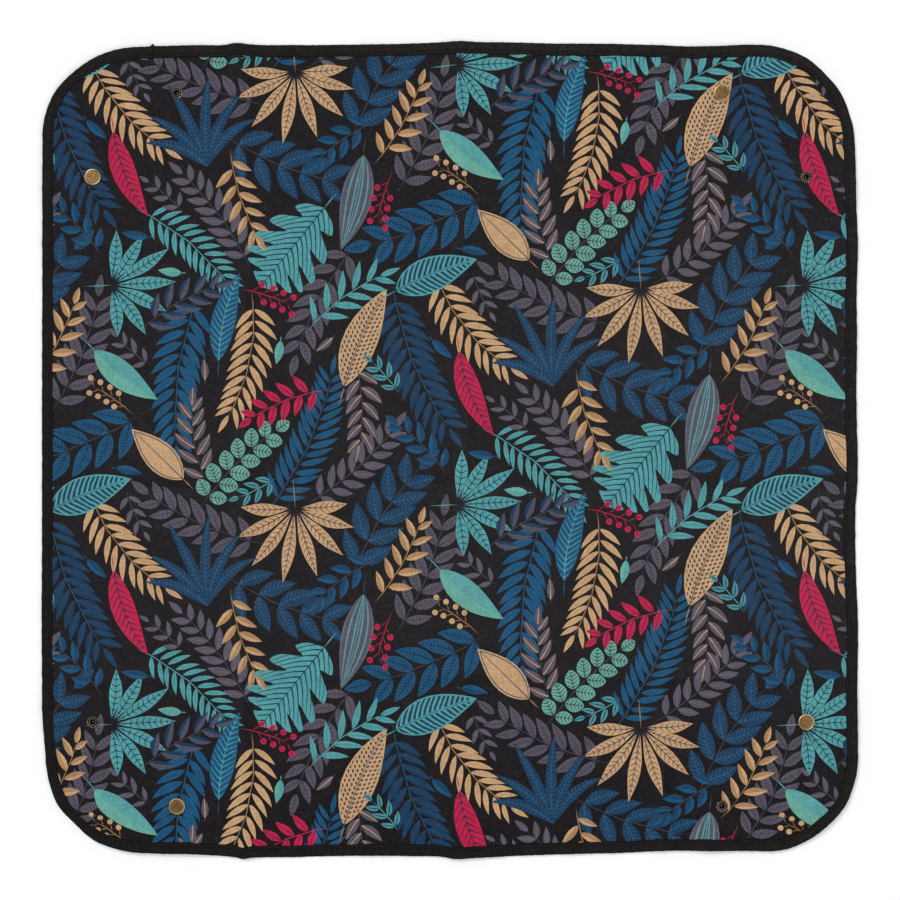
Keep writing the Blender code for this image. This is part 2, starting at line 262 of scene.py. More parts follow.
# How a leaf is drawn: its lines' kind, spacing, slant and width
PLAIN, VEINS, BARS, RIM, STRIPES, DOTS, HALVES = range(7)
Style = namedtuple("Style", "fill line kind spacing slant width")
STYLES = {
    "teal_veined": Style(TEAL, NAVY_DEEP, VEINS, 6.4, 0.75, 1.3),
    "teal_barred": Style(TEAL, NAVY, BARS, 5.2, 0.55, 2.2),
    "teal_plain": Style(TEAL, NAVY, PLAIN, 3.0, 0.0, 0.5),
    "teal_lined": Style(TEAL, NAVY_DEEP, VEINS, 5.6, 0.5, 0.9),
    "teal_striped": Style(TEAL, NAVY, STRIPES, 3.0, 0.0, 0.22),
    "mint_halved": Style(MINT, TEAL, HALVES, 4.0, 0.5, 0.8),
    "mint_veined": Style(MINT, GREY_DEEP, VEINS, 3.3, 0.5, 0.9),
    "blue_tonal": Style(BLUE, NAVY_DEEP, VEINS, 3.4, 0.7, 0.8),
    "blue_veined": Style(BLUE, TEAL, VEINS, 5.4, 0.8, 1.0),
    "blue_plain": Style(BLUE, NAVY_DEEP, PLAIN, 3.0, 0.6, 0.5),
    "blue_halved": Style(BLUE, NAVY, HALVES, 4.0, 0.6, 0.7),
    "navy_plain": Style(NAVY, NAVY_PALE, PLAIN, 3.0, 0.6, 0.5),
    "navy_tonal": Style(NAVY, NAVY_PALE, VEINS, 4.0, 0.7, 0.8),
    "navy_halved": Style(NAVY, GREY, HALVES, 4.0, 0.6, 0.7),
    "sand_plain": Style(SAND, SAND_DEEP, PLAIN, 3.0, 0.6, 0.6),
    "sand_veined": Style(SAND, GREY_DEEP, VEINS, 5.2, 0.8, 0.9),
    "sand_dotted": Style(SAND, GREY_DEEP, DOTS, 4.6, 0.45, 0.3),
    "sand_halved": Style(SAND, SAND_DEEP, HALVES, 5.0, 0.7, 0.8),
    "sand_rimmed": Style(SAND, NAVY, RIM, 5.0, 0.7, 0.9),
    "crimson_plain": Style(CRIMSON, NAVY_DEEP, RIM, 4.0, 0.6, 0.0),
    "crimson_veined": Style(CRIMSON, NAVY_DEEP, VEINS, 6.5, 0.9, 1.3),
    "grey_plain": Style(GREY, GREY_PALE, PLAIN, 3.0, 0.6, 0.4),
    "grey_tonal": Style(GREY, GREY_DEEP, VEINS, 3.6, 0.7, 0.9),
    "grey_ribbed": Style(GREY, SAND, RIM, 3.0, 0.6, 0.0),
    "grey_striped": Style(GREY, TEAL, STRIPES, 3.0, 0.0, 0.3),
    "stem": Style(STEM, STEM, PLAIN, 3.0, 0.6, 0.3),
    "stem_teal": Style(TEAL, TEAL, PLAIN, 3.0, 0.6, 0.3),
    "stem_sand": Style(SAND_DEEP, SAND_DEEP, PLAIN, 3.0, 0.6, 0.3),
    "stem_blue": Style(BLUE, BLUE, PLAIN, 3.0, 0.6, 0.3),
    "stem_crimson": Style(CRIMSON, CRIMSON, PLAIN, 3.0, 0.6, 0.3),
}

# A leaf grows from `at` along `turn`, two complex numbers, and bends by 1/mm
STRAIGHT = 1e-5
Leaf = namedtuple("Leaf", "at turn flip bend length width peak blunt sweep lobes steps style")


def leaf(at, heading, length, width, style, bend=0.0, peak=0.8, blunt=0.9, sweep=0.0, lobes=0, steps=7):
    turn = cmath.exp(1j * heading)
    return Leaf(at, turn, False, bend, length, width, peak, blunt, sweep, lobes, steps, style)


def stalk(at, heading, length, style, bend=0.0, width=0.9):
    steps = 2 + int(abs(bend) * length * 5)
    return leaf(at, heading, length, width, style, bend=bend, peak=0.9, blunt=0.12, steps=steps)


def bent(place, bend):
    """Flat leaf places, along + i across, moved on to an arc."""
    if abs(bend) < STRAIGHT:
        return place
    return ((1 - bend * place.imag) * np.exp(1j * bend * place.real) - 1) / (1j * bend)


def unbent(place, bend):
    if abs(bend) < STRAIGHT:
        return place
    spoke = 1 + 1j * bend * place
    return np.angle(spoke) / bend + 1j * (1 - np.abs(spoke)) / bend


def half_width(one, t):
    wide = one.width / 2 * np.sin(np.pi * np.clip(t, 0, 1) ** one.peak) ** one.blunt
    if one.lobes:
        wide = wide * (1 - 0.62 * np.abs(np.cos(np.pi * one.lobes * t)) ** 5)
    return wide


def grown(one, along_across):
    """Places on the print of flat leaf places."""
    local = bent(along_across, one.bend)
    return one.at + one.turn * (np.conj(local) if one.flip else local)


def ungrown(one, place):
    local = (place - one.at) / one.turn
    return unbent(np.conj(local) if one.flip else local, one.bend)


def outline(one):
    t = 0.5 - 0.5 * np.cos(np.pi * np.arange(one.steps + 1) / one.steps)
    if one.lobes:
        t = np.arange(one.steps + 1) / one.steps
    wide = half_width(one, t)
    wide[0] = wide[-1] = 0
    along = one.length * t
    upper = along + one.sweep * wide * np.sin(np.pi * t) + 1j * wide
    lower = np.conj(upper)[-2:0:-1]
    return grown(one, np.concatenate([upper, lower]))


def filled(one):
    """Places spread evenly over a leaf."""
    count = max(int(one.length / FILL_STEP), 2)
    rows = max(int(one.width / FILL_STEP), 1)
    t = (np.arange(count) + 0.5) / count
    s = (np.arange(rows) + 0.5) / rows * 2 - 1
    tt, ss = np.meshgrid(t, s)
    wide = half_width(one, tt)
    keep = wide > 0.25 * one.width / 2
    return grown(one, (tt * one.length + 1j * ss * wide)[keep])


def moved(parts, at, turn, flip):
    placed = []
    for one in parts:
        start = one.at.conjugate() if flip else one.at
        heading = one.turn.conjugate() if flip else one.turn
        placed.append(one._replace(at=at + turn * start, turn=turn * heading, flip=flip != one.flip))
    return placed


def arc_place(length, bend):
    if abs(bend) < STRAIGHT:
        return complex(length, 0)
    return (cmath.exp(1j * bend * length) - 1) / (1j * bend)


def varied(value, share=0.06):
    """A size or angle as a hand would draw it, a little more or less."""
    return value * (1 + share * DRAWING.uniform(-1, 1))


def frond(length, pairs, reach, width, angle, style, stem, bend=0.0, alternate=False, start=0.14,
          swell=0.5, curl=0.35, gap=0.8, **form):
    """A stalk with leaflets on both sides and one at its end."""
    parts = [stalk(0j, 0.0, length, stem, bend=bend)]
    for i in range(pairs):
        for side in (1, -1):
            late = 0.5 if alternate and side < 0 else 0.0
            t = start + (1 - start) * (i + late) / pairs
            size = varied(reach * (1 - swell + swell * math.sin(math.pi * (0.2 + 0.72 * t))))
            heading = bend * t * length + side * varied(angle - 0.3 * t)
            foot = arc_place(t * length, bend) + cmath.rect(gap, heading)
            parts.append(
                leaf(foot, heading, size, varied(width * (0.35 + 0.65 * size / reach)), style,
                     bend=-side * curl / reach, **form)
            )
    end = arc_place(length * 0.99, bend)
    parts.append(leaf(end, bend * length, reach * (1 - 0.6 * swell), width * 0.85, style, **form))
    return parts


def fan(blades, length, width, spread, style, stem, **form):
    """Half a wheel of blades on a stalk."""
    parts = [stalk(-0.42 * length + 0j, 0.0, 0.46 * length, stem, width=1.1)]
    for i in range(blades):
        heading = spread * (i / (blades - 1) - 0.5)
        size = varied(length * (0.68 + 0.32 * math.cos(heading)))
        foot = cmath.rect(4.5, heading)
        bend = 0.005 * math.copysign(1, heading) * abs(heading)
        parts.append(leaf(foot, varied(heading, 0.04), size, width, style, bend=bend, **form))
    return parts


def tuft(blades, length, width, style):
    """Long blades that part from one foot."""
    parts = []
    for i in range(blades):
        side = i - (blades - 1) / 2
        size = varied(length * (1 - 0.11 * abs(side)))
        parts.append(leaf(0j, 0.21 * side, size, width, style, bend=0.006 * side, peak=0.85, blunt=0.8,
                          steps=9))
    return parts


def single(length, width, style, stem, bend=0.0, **form):
    parts = [stalk(-0.2 * length + 0j, 0.0, 0.22 * length, stem, width=1.2)]
    parts.append(leaf(0j, 0.0, length, width, style, bend=bend, **form))
    return parts


def berries(length, count, size, style, stem, bend=0.0):
    """A twig with a round berry at the end of each side stalk."""
    parts = [stalk(0j, 0.0, length, stem, bend=bend, width=0.8)]
    for i in range(count):
        t = 0.25 + 0.75 * i / (count - 1)
        side = 1 if i % 2 else -1
        heading = bend * t * length + side * varied(0.75)
        foot = arc_place(t * length, bend)
        parts.append(stalk(foot, heading, 1.3 * size, stem, width=0.7))
        tip = foot + cmath.rect(1.2 * size, heading)
        parts.append(leaf(tip, heading, size, size * 0.95, style, peak=1.0, blunt=0.5, steps=6))
    return parts


# The print's repeat: a block set half a step down in each next column
REPEAT_WIDTH = 318.0
REPEAT_HEIGHT = 404.0
CELL = 2.5
FILL_STEP = 2.4
# Motifs of one ink family keep their distance, and a motif keeps others off a little beside it too
FAMILY_APART = 75
FAMILY_COUNTS = 0.12
BESIDE = 0.45
TRIES = 260
DRAWING = random.Random(31)
LAYING = random.Random(20)

FAN_SHAPE = {"peak": 1.1, "blunt": 1.15, "steps": 11}

# Every motif of one repeat, the first ones undermost: how many, ink family, how firmly it
# keeps others off, and how it is drawn
MOTIFS = [
    (1, "navy", 0.45, lambda: frond(150, 12, 31, 8.0, 1.1, "navy_plain", "stem_blue", bend=0.0035)),
    (1, "navy", 0.45, lambda: frond(150, 12, 31, 8.0, 1.1, "blue_plain", "stem_blue", bend=0.0035)),
    (2, "navy", 0.45, lambda: frond(122, 5, 37, 15, 1.0, "navy_tonal", "stem", bend=-0.004, steps=8)),
    (3, "grey", 0.5, lambda: frond(122, 7, 27, 9.6, 1.05, "grey_tonal", "stem", bend=-0.004, swell=0.4)),
    (1, "blue", 0.6, lambda: frond(146, 14, 28, 5.8, 1.12, "blue_plain", "stem_blue", bend=0.0035)),
    (1, "teal", 0.6, lambda: frond(118, 12, 23, 4.7, 1.15, "teal_plain", "stem_teal", bend=-0.005)),
    (2, "sand", 0.6, lambda: frond(120, 10, 27, 6.0, 1.05, "sand_plain", "stem_sand", bend=0.006)),
    (2, "grey", 0.6, lambda: frond(112, 8, 22, 7.6, 1.1, "grey_plain", "stem", bend=0.004, swell=0.4)),
    (1, "blue", 0.7, lambda: frond(122, 5, 37, 14, 1.0, "blue_tonal", "stem", bend=0.003, steps=8)),
    (1, "mint", 0.8, lambda: frond(104, 6, 18, 13.5, 1.08, "mint_veined", "stem", bend=-0.004, peak=0.95,
                                   blunt=0.66, swell=0.35, curl=0.0, gap=1.6)),
    (1, "teal", 0.9, lambda: single(94, 70, "teal_veined", "stem_teal", peak=0.8, blunt=0.7, sweep=0.6,
                                    lobes=6, steps=60)),
    (1, "sand", 0.9, lambda: fan(8, 64, 11.6, 2.9, "sand_veined", "stem_sand", **FAN_SHAPE)),
    (1, "teal", 0.9, lambda: fan(7, 58, 12.0, 2.6, "teal_lined", "stem_teal", **FAN_SHAPE)),
    (1, "blue", 0.9, lambda: tuft(6, 88, 10.5, "navy_tonal")),
    (1, "sand", 0.9, lambda: single(98, 32, "sand_dotted", "stem_sand", bend=0.003, peak=0.85, steps=12)),
    (1, "teal", 0.9, lambda: single(80, 33, "teal_barred", "stem_teal", bend=-0.003, peak=0.75, steps=12)),
    (1, "mint", 1.0, lambda: single(74, 25, "mint_halved", "stem_teal", bend=0.004, steps=12)),
    (1, "grey", 1.0, lambda: single(90, 29, "grey_striped", "stem", bend=0.003, steps=12)),
    (1, "crimson", 1.0, lambda: single(84, 22, "crimson_veined", "stem_crimson", bend=-0.006, steps=12)),
    (1, "sand", 1.0, lambda: single(66, 28, "sand_rimmed", "stem_sand", peak=0.8, steps=12)),
    (1, "blue", 1.0, lambda: single(84, 23, "blue_veined", "stem_blue", bend=0.005, steps=12)),
    (1, "crimson", 1.0, lambda: frond(76, 5, 21, 7.8, 1.0, "crimson_plain", "stem_crimson", bend=0.007,
                                      alternate=True, curl=-0.2)),
    (2, "grey", 1.0, lambda: frond(80, 5, 23, 8.6, 1.0, "grey_ribbed", "stem", bend=-0.006, alternate=True)),
    (1, "grey", 1.0, lambda: frond(84, 5, 25, 8.2, 1.0, "navy_halved", "stem", bend=0.006, alternate=True)),
    (2, "sand", 1.0, lambda: frond(86, 5, 23, 7.4, 0.95, "sand_halved", "stem_sand", bend=0.005,
                                   alternate=True, curl=-0.15)),
    (1, "teal", 1.0, lambda: frond(88, 5, 28, 6.6, 0.8, "teal_plain", "stem_teal", bend=-0.006,
                                   alternate=True, curl=-0.3)),
    (2, "blue", 1.0, lambda: frond(68, 4, 20, 8.2, 1.0, "blue_halved", "stem", bend=-0.006, alternate=True)),
    (2, "crimson", 1.0, lambda: berries(46, 8, 6.2, "crimson_plain", "stem_crimson", bend=0.008)),
    (1, "sand", 1.0, lambda: berries(44, 8, 5.6, "sand_plain", "stem_sand", bend=-0.009)),
    (3, "grey", 1.0, lambda: frond(42, 3, 15, 5.2, 1.0, "grey_plain", "stem", bend=0.008)),
    (2, "teal", 1.0, lambda: frond(38, 3, 15, 5.4, 1.0, "teal_striped", "stem_teal", bend=-0.008)),
    (3, "blue", 1.0, lambda: single(25, 8.5, "blue_halved", "stem_blue", bend=0.008)),
    (2, "mint", 1.0, lambda: single(22, 8.5, "mint_halved", "stem_teal", bend=-0.008)),
    (2, "grey", 1.0, lambda: single(20, 7.0, "grey_ribbed", "stem", bend=0.01)),
]


def wrapped(place):
    """Places of the print brought back into its first block."""
    column = np.floor(place.real / REPEAT_WIDTH)
    x = place.real - column * REPEAT_WIDTH
    y = np.mod(place.imag - column * REPEAT_HEIGHT / 2, REPEAT_HEIGHT)
    return x, y


def cells(place):
    x, y = wrapped(place)
    return (x / CELL).astype(int), (y / CELL).astype(int)


def apart(a, b):
    """Distance between two places of the repeated print."""
    best = math.inf
    for column in (-1, 0, 1):
        for row in (-1.5, -1, -0.5, 0, 0.5, 1, 1.5):
            if (column % 2) != (row * 2) % 2:
                continue
            best = min(best, abs(a - b + complex(column * REPEAT_WIDTH, row * REPEAT_HEIGHT)))
    return best


def laid_out():
    """One block of the print: each motif goes where it covers the least of those before it."""
    taken = np.zeros((int(REPEAT_WIDTH / CELL) + 2, int(REPEAT_HEIGHT / CELL) + 2))
    middles = defaultdict(list)
    block = []
    for count, family, firm, make in MOTIFS:
        for _ in range(count):
            parts = make()
            spots = np.concatenate([filled(one) for one in parts])
            centre = spots.mean()
            parts = moved(parts, -centre, 1, False)
            spots = spots - centre
            best = None
            for _ in range(TRIES):
                at = complex(LAYING.uniform(0, REPEAT_WIDTH), LAYING.uniform(0, REPEAT_HEIGHT))
                turn = cmath.exp(1j * LAYING.uniform(0, 2 * math.pi))
                flip = LAYING.random() < 0.5
                there = at + turn * (np.conj(spots) if flip else spots)
                hit = taken[cells(there)].mean()
                near = sum(math.exp(-((apart(at, other) / FAMILY_APART) ** 2)) for other in middles[family])
                score = hit + FAMILY_COUNTS * near
                if best is None or score < best[0]:
                    best = (score, at, turn, flip, there)
            _, at, turn, flip, there = best
            middles[family].append(at)
            block += moved(parts, at, turn, flip)
            column, row = cells(there)
            for dx in (-1, 0, 1):
                for dy in (-1, 0, 1):
                    near_x, near_y = cells(there + complex(dx * CELL, dy * CELL))
                    taken[near_x, near_y] = np.maximum(taken[near_x, near_y], BESIDE * firm)
            taken[column, row] = np.maximum(taken[column, row], firm)
    return block


def repeated(block):
    """The block's leaves over the whole mat, in the same order in every repeat."""
    leaves = []
    for one in block:
        for column in range(-2, 3):
            for row in range(-3, 4):
                shift = complex(column * REPEAT_WIDTH, (row + column / 2) * REPEAT_HEIGHT)
                copy = one._replace(at=one.at + shift)
                reach = one.length + 5
                if abs(copy.at.real) < MAT_HALF + reach and abs(copy.at.imag) < MAT_HALF + reach:
                    leaves.append(copy)
    return leaves


# The panels between the fold lines
def stroke(points, step=EDGE_STEP):
    """The points with more set between them, the last one left out."""
    line = []
    for start, end in zip(points, points[1:]):
        count = max(int(abs(end - start) / step), 1)
        line += [start + (end - start) * i / count for i in range(count)]
    return line


def panels():
    """Outline of every flat panel by the body it belongs to, anticlockwise."""
    edge = MAT_HALF - CLOTH_INSET
    radius = CORNER_RADIUS - CLOTH_INSET
    corner = complex(ARC_CENTRE, ARC_CENTRE)
    arc = [corner + cmath.rect(radius, a) for a in np.linspace(math.pi / 4, math.pi / 2, 16)]
    base = complex(BASE_HALF, BASE_HALF)
    square = [base * 1j**i for i in range(4)] + [base]
    wall = [complex(-WALL_HALF, BASE_HALF), complex(WALL_HALF, BASE_HALF), complex(WALL_HALF, edge),
            complex(-WALL_HALF, edge), complex(-WALL_HALF, BASE_HALF)]
    gusset = [complex(WALL_HALF, BASE_HALF), base] + arc
    gusset += [complex(WALL_HALF, edge), complex(WALL_HALF, BASE_HALF)]
    found = {"base": stroke(square)}
    for i, name in enumerate(WALLS):
        turn = (-1j) ** i
        after, before = WALLS[(i + 1) % 4], WALLS[i - 1]
        found[f"{name}_wall"] = [p * turn for p in stroke(wall)]
        found[f"{name}_gusset_{after}"] = [p * turn for p in stroke(gusset)]
        found[f"{name}_gusset_{before}"] = [-p.conjugate() * turn for p in stroke(gusset)][::-1]
    return found


def signed_area(line):
    """Area inside a line of places, below 0 where it goes clockwise."""
    places = np.array(line)
    return np.sum((np.conj(places) * np.roll(places, -1)).imag) / 2


def hexagon_grid(step):
    """Places over the whole mat, every second row half a step on."""
    places = []
    rows = int(MAT_HALF / (step * ROW_STEP)) + 1
    columns = int(MAT_HALF / step) + 1
    for row in range(-rows, rows + 1):
        shift = 0.5 if row % 2 else 0.0
        for column in range(-columns, columns + 1):
            places.append(complex((column + shift) * step, row * step * ROW_STEP))
    return np.array(places)


def circle(centre, radius, steps=20):
    return [centre + cmath.rect(radius, 2 * math.pi * i / steps) for i in range(steps)]


def triangulated(places, faces, kind=0, edges=()):
    """The places after triangulation, and all that it found: kind 0 fills everything, 1 inside the edges."""
    points = [Vector((p.real, p.imag)) for p in places]
    found = delaunay_2d_cdt(points, list(edges), faces, kind, 1e-4, True)
    return np.array([complex(v.x, v.y) for v in found[0]]), found


def printed_sheets(leaves):
    """Every panel's upper face in triangles, each with the leaf that shows there, or -1."""
    outlines = panels()
    places, numbers, faces = [], {}, []

    def number(p):
        key = (round(p.real, 3), round(p.imag, 3))
        if key not in numbers:
            numbers[key] = len(places)
            places.append(p)
        return numbers[key]

    for line in outlines.values():
        faces.append([number(p) for p in line])
    for centre, radius in SNAPS:
        faces.append([number(p) for p in circle(centre, radius)])
    first_leaf = len(faces)
    for one in leaves:
        start = len(places)
        line = outline(one)
        line = line[::-1] if signed_area(line) < 0 else line
        places += list(line)
        faces.append(list(range(start, start + len(line))))
    grid = hexagon_grid(TOP_STEP)
    places += list(grid[np.abs(grid.real) < MAT_HALF])
    found_places, found = triangulated(places, faces)
    names = list(outlines)
    sheets = {name: ([], []) for name in names}
    for corners, owners in zip(found[2], found[5]):
        panel, top, hole = -1, -1, False
        for owner in owners:
            if owner < len(names):
                panel = owner
            elif owner < first_leaf:
                hole = True
            else:
                top = max(top, owner - first_leaf)
        if panel >= 0 and not hole:
            sheets[names[panel]][0].append(corners)
            sheets[names[panel]][1].append(top)
    return found_places, sheets


def border_edges(triangles):
    """The edges that one triangle alone has, in that triangle's direction."""
    edges = {pair for a, b, c in triangles for pair in ((a, b), (b, c), (c, a))}
    return sorted((a, b) for a, b in edges if (b, a) not in edges)


def back_triangles(places, rim_edges, inside):
    """The coated face: its own coarser triangles inside the printed face's border."""
    rim = sorted({i for pair in rim_edges for i in pair})
    local = {i: k for k, i in enumerate(rim)}
    points = [places[i] for i in rim] + list(inside)
    edges = [(local[a], local[b]) for a, b in rim_edges]
    found_places, found = triangulated(points, [], kind=1, edges=edges)
    keep = []
    for corners in found[2]:
        middle = found_places[corners].mean()
        if min(abs(middle - centre) - radius for centre, radius in SNAPS) > -0.02 * CAP_HOLE:
            keep.append(corners[::-1])
    number = {rim[k]: i for i, ids in enumerate(found[3]) for k in ids if k < len(rim)}
    return found_places, keep, number


def inside_panel(line, grid):
    """Grid places well inside a panel, which is convex, and clear of the snaps."""
    corners = np.array(line)
    keep = np.ones(len(grid), bool)
    for start, end in zip(corners, np.roll(corners, -1)):
        along = (end - start) / abs(end - start)
        keep &= ((grid - start) / along).imag > BACK_STEP * 0.4
    for centre, radius in SNAPS:
        keep &= np.abs(grid - centre) > radius + 1
    return grid[keep]


def cloth_mesh(name, places, triangles, tops, leaves, line):
    """One panel's closed cloth: printed face, coated back, and a thin rim where they meet."""
    triangles = np.array(triangles)
    rim_edges = border_edges(triangles)
    used = np.unique(triangles)
    grid = inside_panel(line, hexagon_grid(BACK_STEP))
    back_places, back, number = back_triangles(places, rim_edges, grid)
    lookup = np.zeros(used.max() + 1, int)
    lookup[used] = np.arange(len(used))
    flat = np.concatenate([places[used], back_places])
    height = np.concatenate([np.full(len(used), HALF_CLOTH), np.full(len(back_places), -HALF_CLOTH)])
    height[lookup[list(number)]] = HALF_RIM
    height[[len(used) + i for i in number.values()]] = -HALF_RIM
    front_faces = lookup[triangles]
    back_faces = np.array(back) + len(used)
    sides = [(lookup[b], lookup[a], len(used) + number[a], len(used) + number[b]) for a, b in rim_edges]
    points = laid(flat.real, flat.imag, height) * MM
    mesh = bpy.data.meshes.new(name)
    mesh.from_pydata(points.tolist(), [], front_faces.tolist() + back_faces.tolist() + sides)
    normals = lift_normal(flat.real, flat.imag)
    outward = np.array([(places[b] - places[a]) * -1j / abs(places[b] - places[a]) for a, b in rim_edges])
    outward = np.repeat(np.stack([outward.real, outward.imag, 0 * outward.real], axis=-1), 4, axis=0)
    loop_normals = np.concatenate(
        [normals[front_faces.reshape(-1)], -normals[back_faces.reshape(-1)], outward])
    mesh.shade_smooth()
    kinds = [0] * len(front_faces) + [1] * len(back_faces) + [0] * len(sides)
    mesh.polygons.foreach_set("material_index", kinds)
    mesh.normals_split_custom_set(loop_normals.tolist())
    write_print(mesh, flat, front_faces, np.array(tops), leaves)
    return mesh


def write_print(mesh, flat, faces, tops, leaves):
    """What the print's material reads: each face's inks and leaf, each corner's place on the leaf."""
    count = len(mesh.polygons)
    fill = np.ones((count, 4))
    line = np.ones((count, 4))
    form = np.ones((count, 3))
    lines = np.ones((count, 3))
    kind = np.zeros((count, 3))
    place = np.zeros((len(mesh.loops), 3))
    fill[:, :3] = GROUND
    line[:, :3] = GROUND
    order = np.argsort(tops, kind="stable")
    starts = np.searchsorted(tops[order], np.arange(len(leaves) + 1))
    for number in np.unique(tops[tops >= 0]):
        chosen = order[starts[number]:starts[number + 1]]
        one = leaves[number]
        style = STYLES[one.style]
        fill[chosen, :3] = style.fill
        line[chosen, :3] = style.line
        form[chosen] = (one.length, one.width / 2, one.peak)
        lines[chosen] = (style.spacing, style.slant, style.width)
        kind[chosen] = (one.blunt, style.kind, 1)
        corner_places = ungrown(one, flat[faces[chosen].reshape(-1)])
        rows = (chosen[:, None] * 3 + np.arange(3)).reshape(-1)
        place[rows, 0] = corner_places.real
        place[rows, 1] = corner_places.imag
    for name, kind_of, domain, values in (
        ("ink_fill", "FLOAT_COLOR", "FACE", fill),
        ("ink_line", "FLOAT_COLOR", "FACE", line),
        ("leaf_form", "FLOAT_VECTOR", "FACE", form),
        ("leaf_lines", "FLOAT_VECTOR", "FACE", lines),
        ("leaf_kind", "FLOAT_VECTOR", "FACE", kind),
        ("leaf_place", "FLOAT_VECTOR", "CORNER", place),
    ):
        layer = mesh.attributes.new(name, kind_of, domain)
        layer.data.foreach_set("color" if "COLOR" in kind_of else "vector", values.reshape(-1))


# Materials
class Value:
    """What a node gives, to be added, multiplied and so on in the next node."""

    def __init__(self, nodes, socket):
        self.nodes, self.socket = nodes, socket

    def __add__(self, other):
        return self.nodes.math("ADD", self, other)

    def __sub__(self, other):
        return self.nodes.math("SUBTRACT", self, other)

    def __rsub__(self, other):
        return self.nodes.math("SUBTRACT", other, self)

    def __mul__(self, other):
        return self.nodes.math("MULTIPLY", self, other)

    def __truediv__(self, other):
        return self.nodes.math("DIVIDE", self, other)

    def __abs__(self):
        return self.nodes.math("ABSOLUTE", self)

    def sine(self):
        return self.nodes.math("SINE", self)

    def below(self, limit, soft=0.12):
        """1 where the value is under limit, with an edge as wide as soft."""
        return self.nodes.math("MULTIPLY_ADD", limit - self, 1 / soft, 0.5, clamp=True)

    def ranged(self, low, high, to_low, to_high):
        return self.nodes.value("MapRange", {0: self, 1: low, 2: high, 3: to_low, 4: to_high})


class Nodes:
    """A node tree that is written as calls."""

    def __init__(self, tree):
        self.tree = tree

    def node(self, kind, inputs=(), **settings):
        made = self.tree.nodes.new("ShaderNode" + kind)
        for key, value in settings.items():
            setattr(made, key, value)
        for key, value in dict(inputs).items():
            self.put(made.inputs[key], value)
        return made

    def value(self, kind, inputs=(), output=0, **settings):
        return Value(self, self.node(kind, inputs, **settings).outputs[output])

    def put(self, socket, value):
        if isinstance(value, Value):
            self.tree.links.new(value.socket, socket)
        elif hasattr(value, "__len__") and len(socket.default_value) == 4:
            socket.default_value = (*value, 1.0)[:4]
        else:
            socket.default_value = value

    def math(self, operation, a, b=0.0, c=0.0, clamp=False):
        return self.value("Math", {0: a, 1: b, 2: c}, operation=operation, use_clamp=clamp)

    def either(self, a, b):
        return self.math("MAXIMUM", a, b)

    def mix(self, factor, a, b):
        return self.value("Mix", {0: factor, 6: a, 7: b}, 2, data_type="RGBA")

    def scaled(self, vector, amount):
        """A place or a colour times an amount."""
        return self.value("VectorMath", {0: vector, "Scale": amount}, operation="SCALE")

    def parts(self, vector):
        return [Value(self, socket) for socket in self.node("SeparateXYZ", {0: vector}).outputs]


class Surface(Nodes):
    """A material and its shader."""

    def __init__(self, name):
        self.material = bpy.data.materials.new(name)
        self.material.use_nodes = True
        super().__init__(self.material.node_tree)
        self.shader = self.tree.nodes["Principled BSDF"]

    def attribute(self, name, output="Vector"):
        return self.value("Attribute", output=output, attribute_name=name)

    def place(self):
        """The surface's place in millimetres."""
        return self.scaled(self.value("TexCoord", output="Object"), 1 / MM)

    def noise(self, vector, scale, detail=2.0, rough=0.5):
        inputs = {"Vector": vector, "Scale": scale, "Detail": detail, "Roughness": rough}
        return self.value("TexNoise", inputs)

    def streaks(self, vector, scale, detail=2.0, rough=0.5, turn=0.0):
        """Noise drawn out along one way."""
        run = self.value("Mapping", {"Vector": vector, "Scale": (*scale, 1.0), "Rotation": (0, 0, turn)})
        return self.noise(run, 1.0, detail, rough)

    def bump(self, height, distance, strength):
        bump = self.value("Bump", {"Height": height, "Distance": distance * MM, "Strength": strength})
        self.put(self.shader.inputs["Normal"], bump)

    def finish(self, **inputs):
        for key, value in inputs.items():
            self.put(self.shader.inputs[key.replace("_", " ")], value)
        return self.material


WEAVE_PITCH = 0.56


def weave(s, x, y):
    """Height of a plain weave: threads one way pass over and under those the other way."""
    u, v = x * (1 / WEAVE_PITCH), y * (1 / WEAVE_PITCH)
    odd = abs(s.math("MODULO", s.math("FLOOR", u) + s.math("FLOOR", v), 2.0))
    across_u, across_v = abs((u * math.pi).sine()), abs((v * math.pi).sine())
    warp = across_u * s.math("MULTIPLY_ADD", across_v, 0.45, 0.55)
    weft = across_v * s.math("MULTIPLY_ADD", across_u, 0.45, 0.55)
    return warp * odd + weft * (1.0 - odd)


# How the print is drawn: veins bow, hand-drawn lines wander, bare thread shows through the ink
VEIN_BOW = 0.016
HAND = 0.45
BARE_SHOWS = 0.05
# How much paler the worn creases are, how much paler the painted pool of light makes the print over the
# middle (darker towards the bottom and the left), how far a crease's flanks reach, and the painted shine on
# the flanks that face the lamp
CREASE_SHOWS = 0.012
PAINTED_LIGHT_SHOWS = 0.0165
CREASE_FLANK = 13.0
GLEAM = 0.1
PAINTED_FLANK_SHINE = 0.055


def creased(s, x, y):
    """How worn the cloth is along its storage creases, and how much their flanks face the lamp, for a painted
    shine on the flanks.
    """
    worn, painted_flank_facing = 0.0, 0.0
    for across, along, creases, bow, lit in (
        (x, y, CREASES_ACROSS, BOW_ACROSS, -1.0),
        (y, x, CREASES_ALONG, BOW_ALONG, 1.0),
    ):
        for i, (place, height) in enumerate(creases):
            wave = s.math("MULTIPLY_ADD", along, 1 / bow, float(i)).sine()
            off = across - s.math("MULTIPLY_ADD", wave, CREASE_BOW, place)
            worn = s.either(worn, abs(off).below(0.9, 2.4))
            painted_flank = off * abs(off).ranged(0.0, CREASE_FLANK, 1.0, 0.0)
            painted_flank_facing = s.math("ADD", painted_flank_facing, painted_flank * (4 * lit * height / CREASE_FLANK))
    return worn, painted_flank_facing


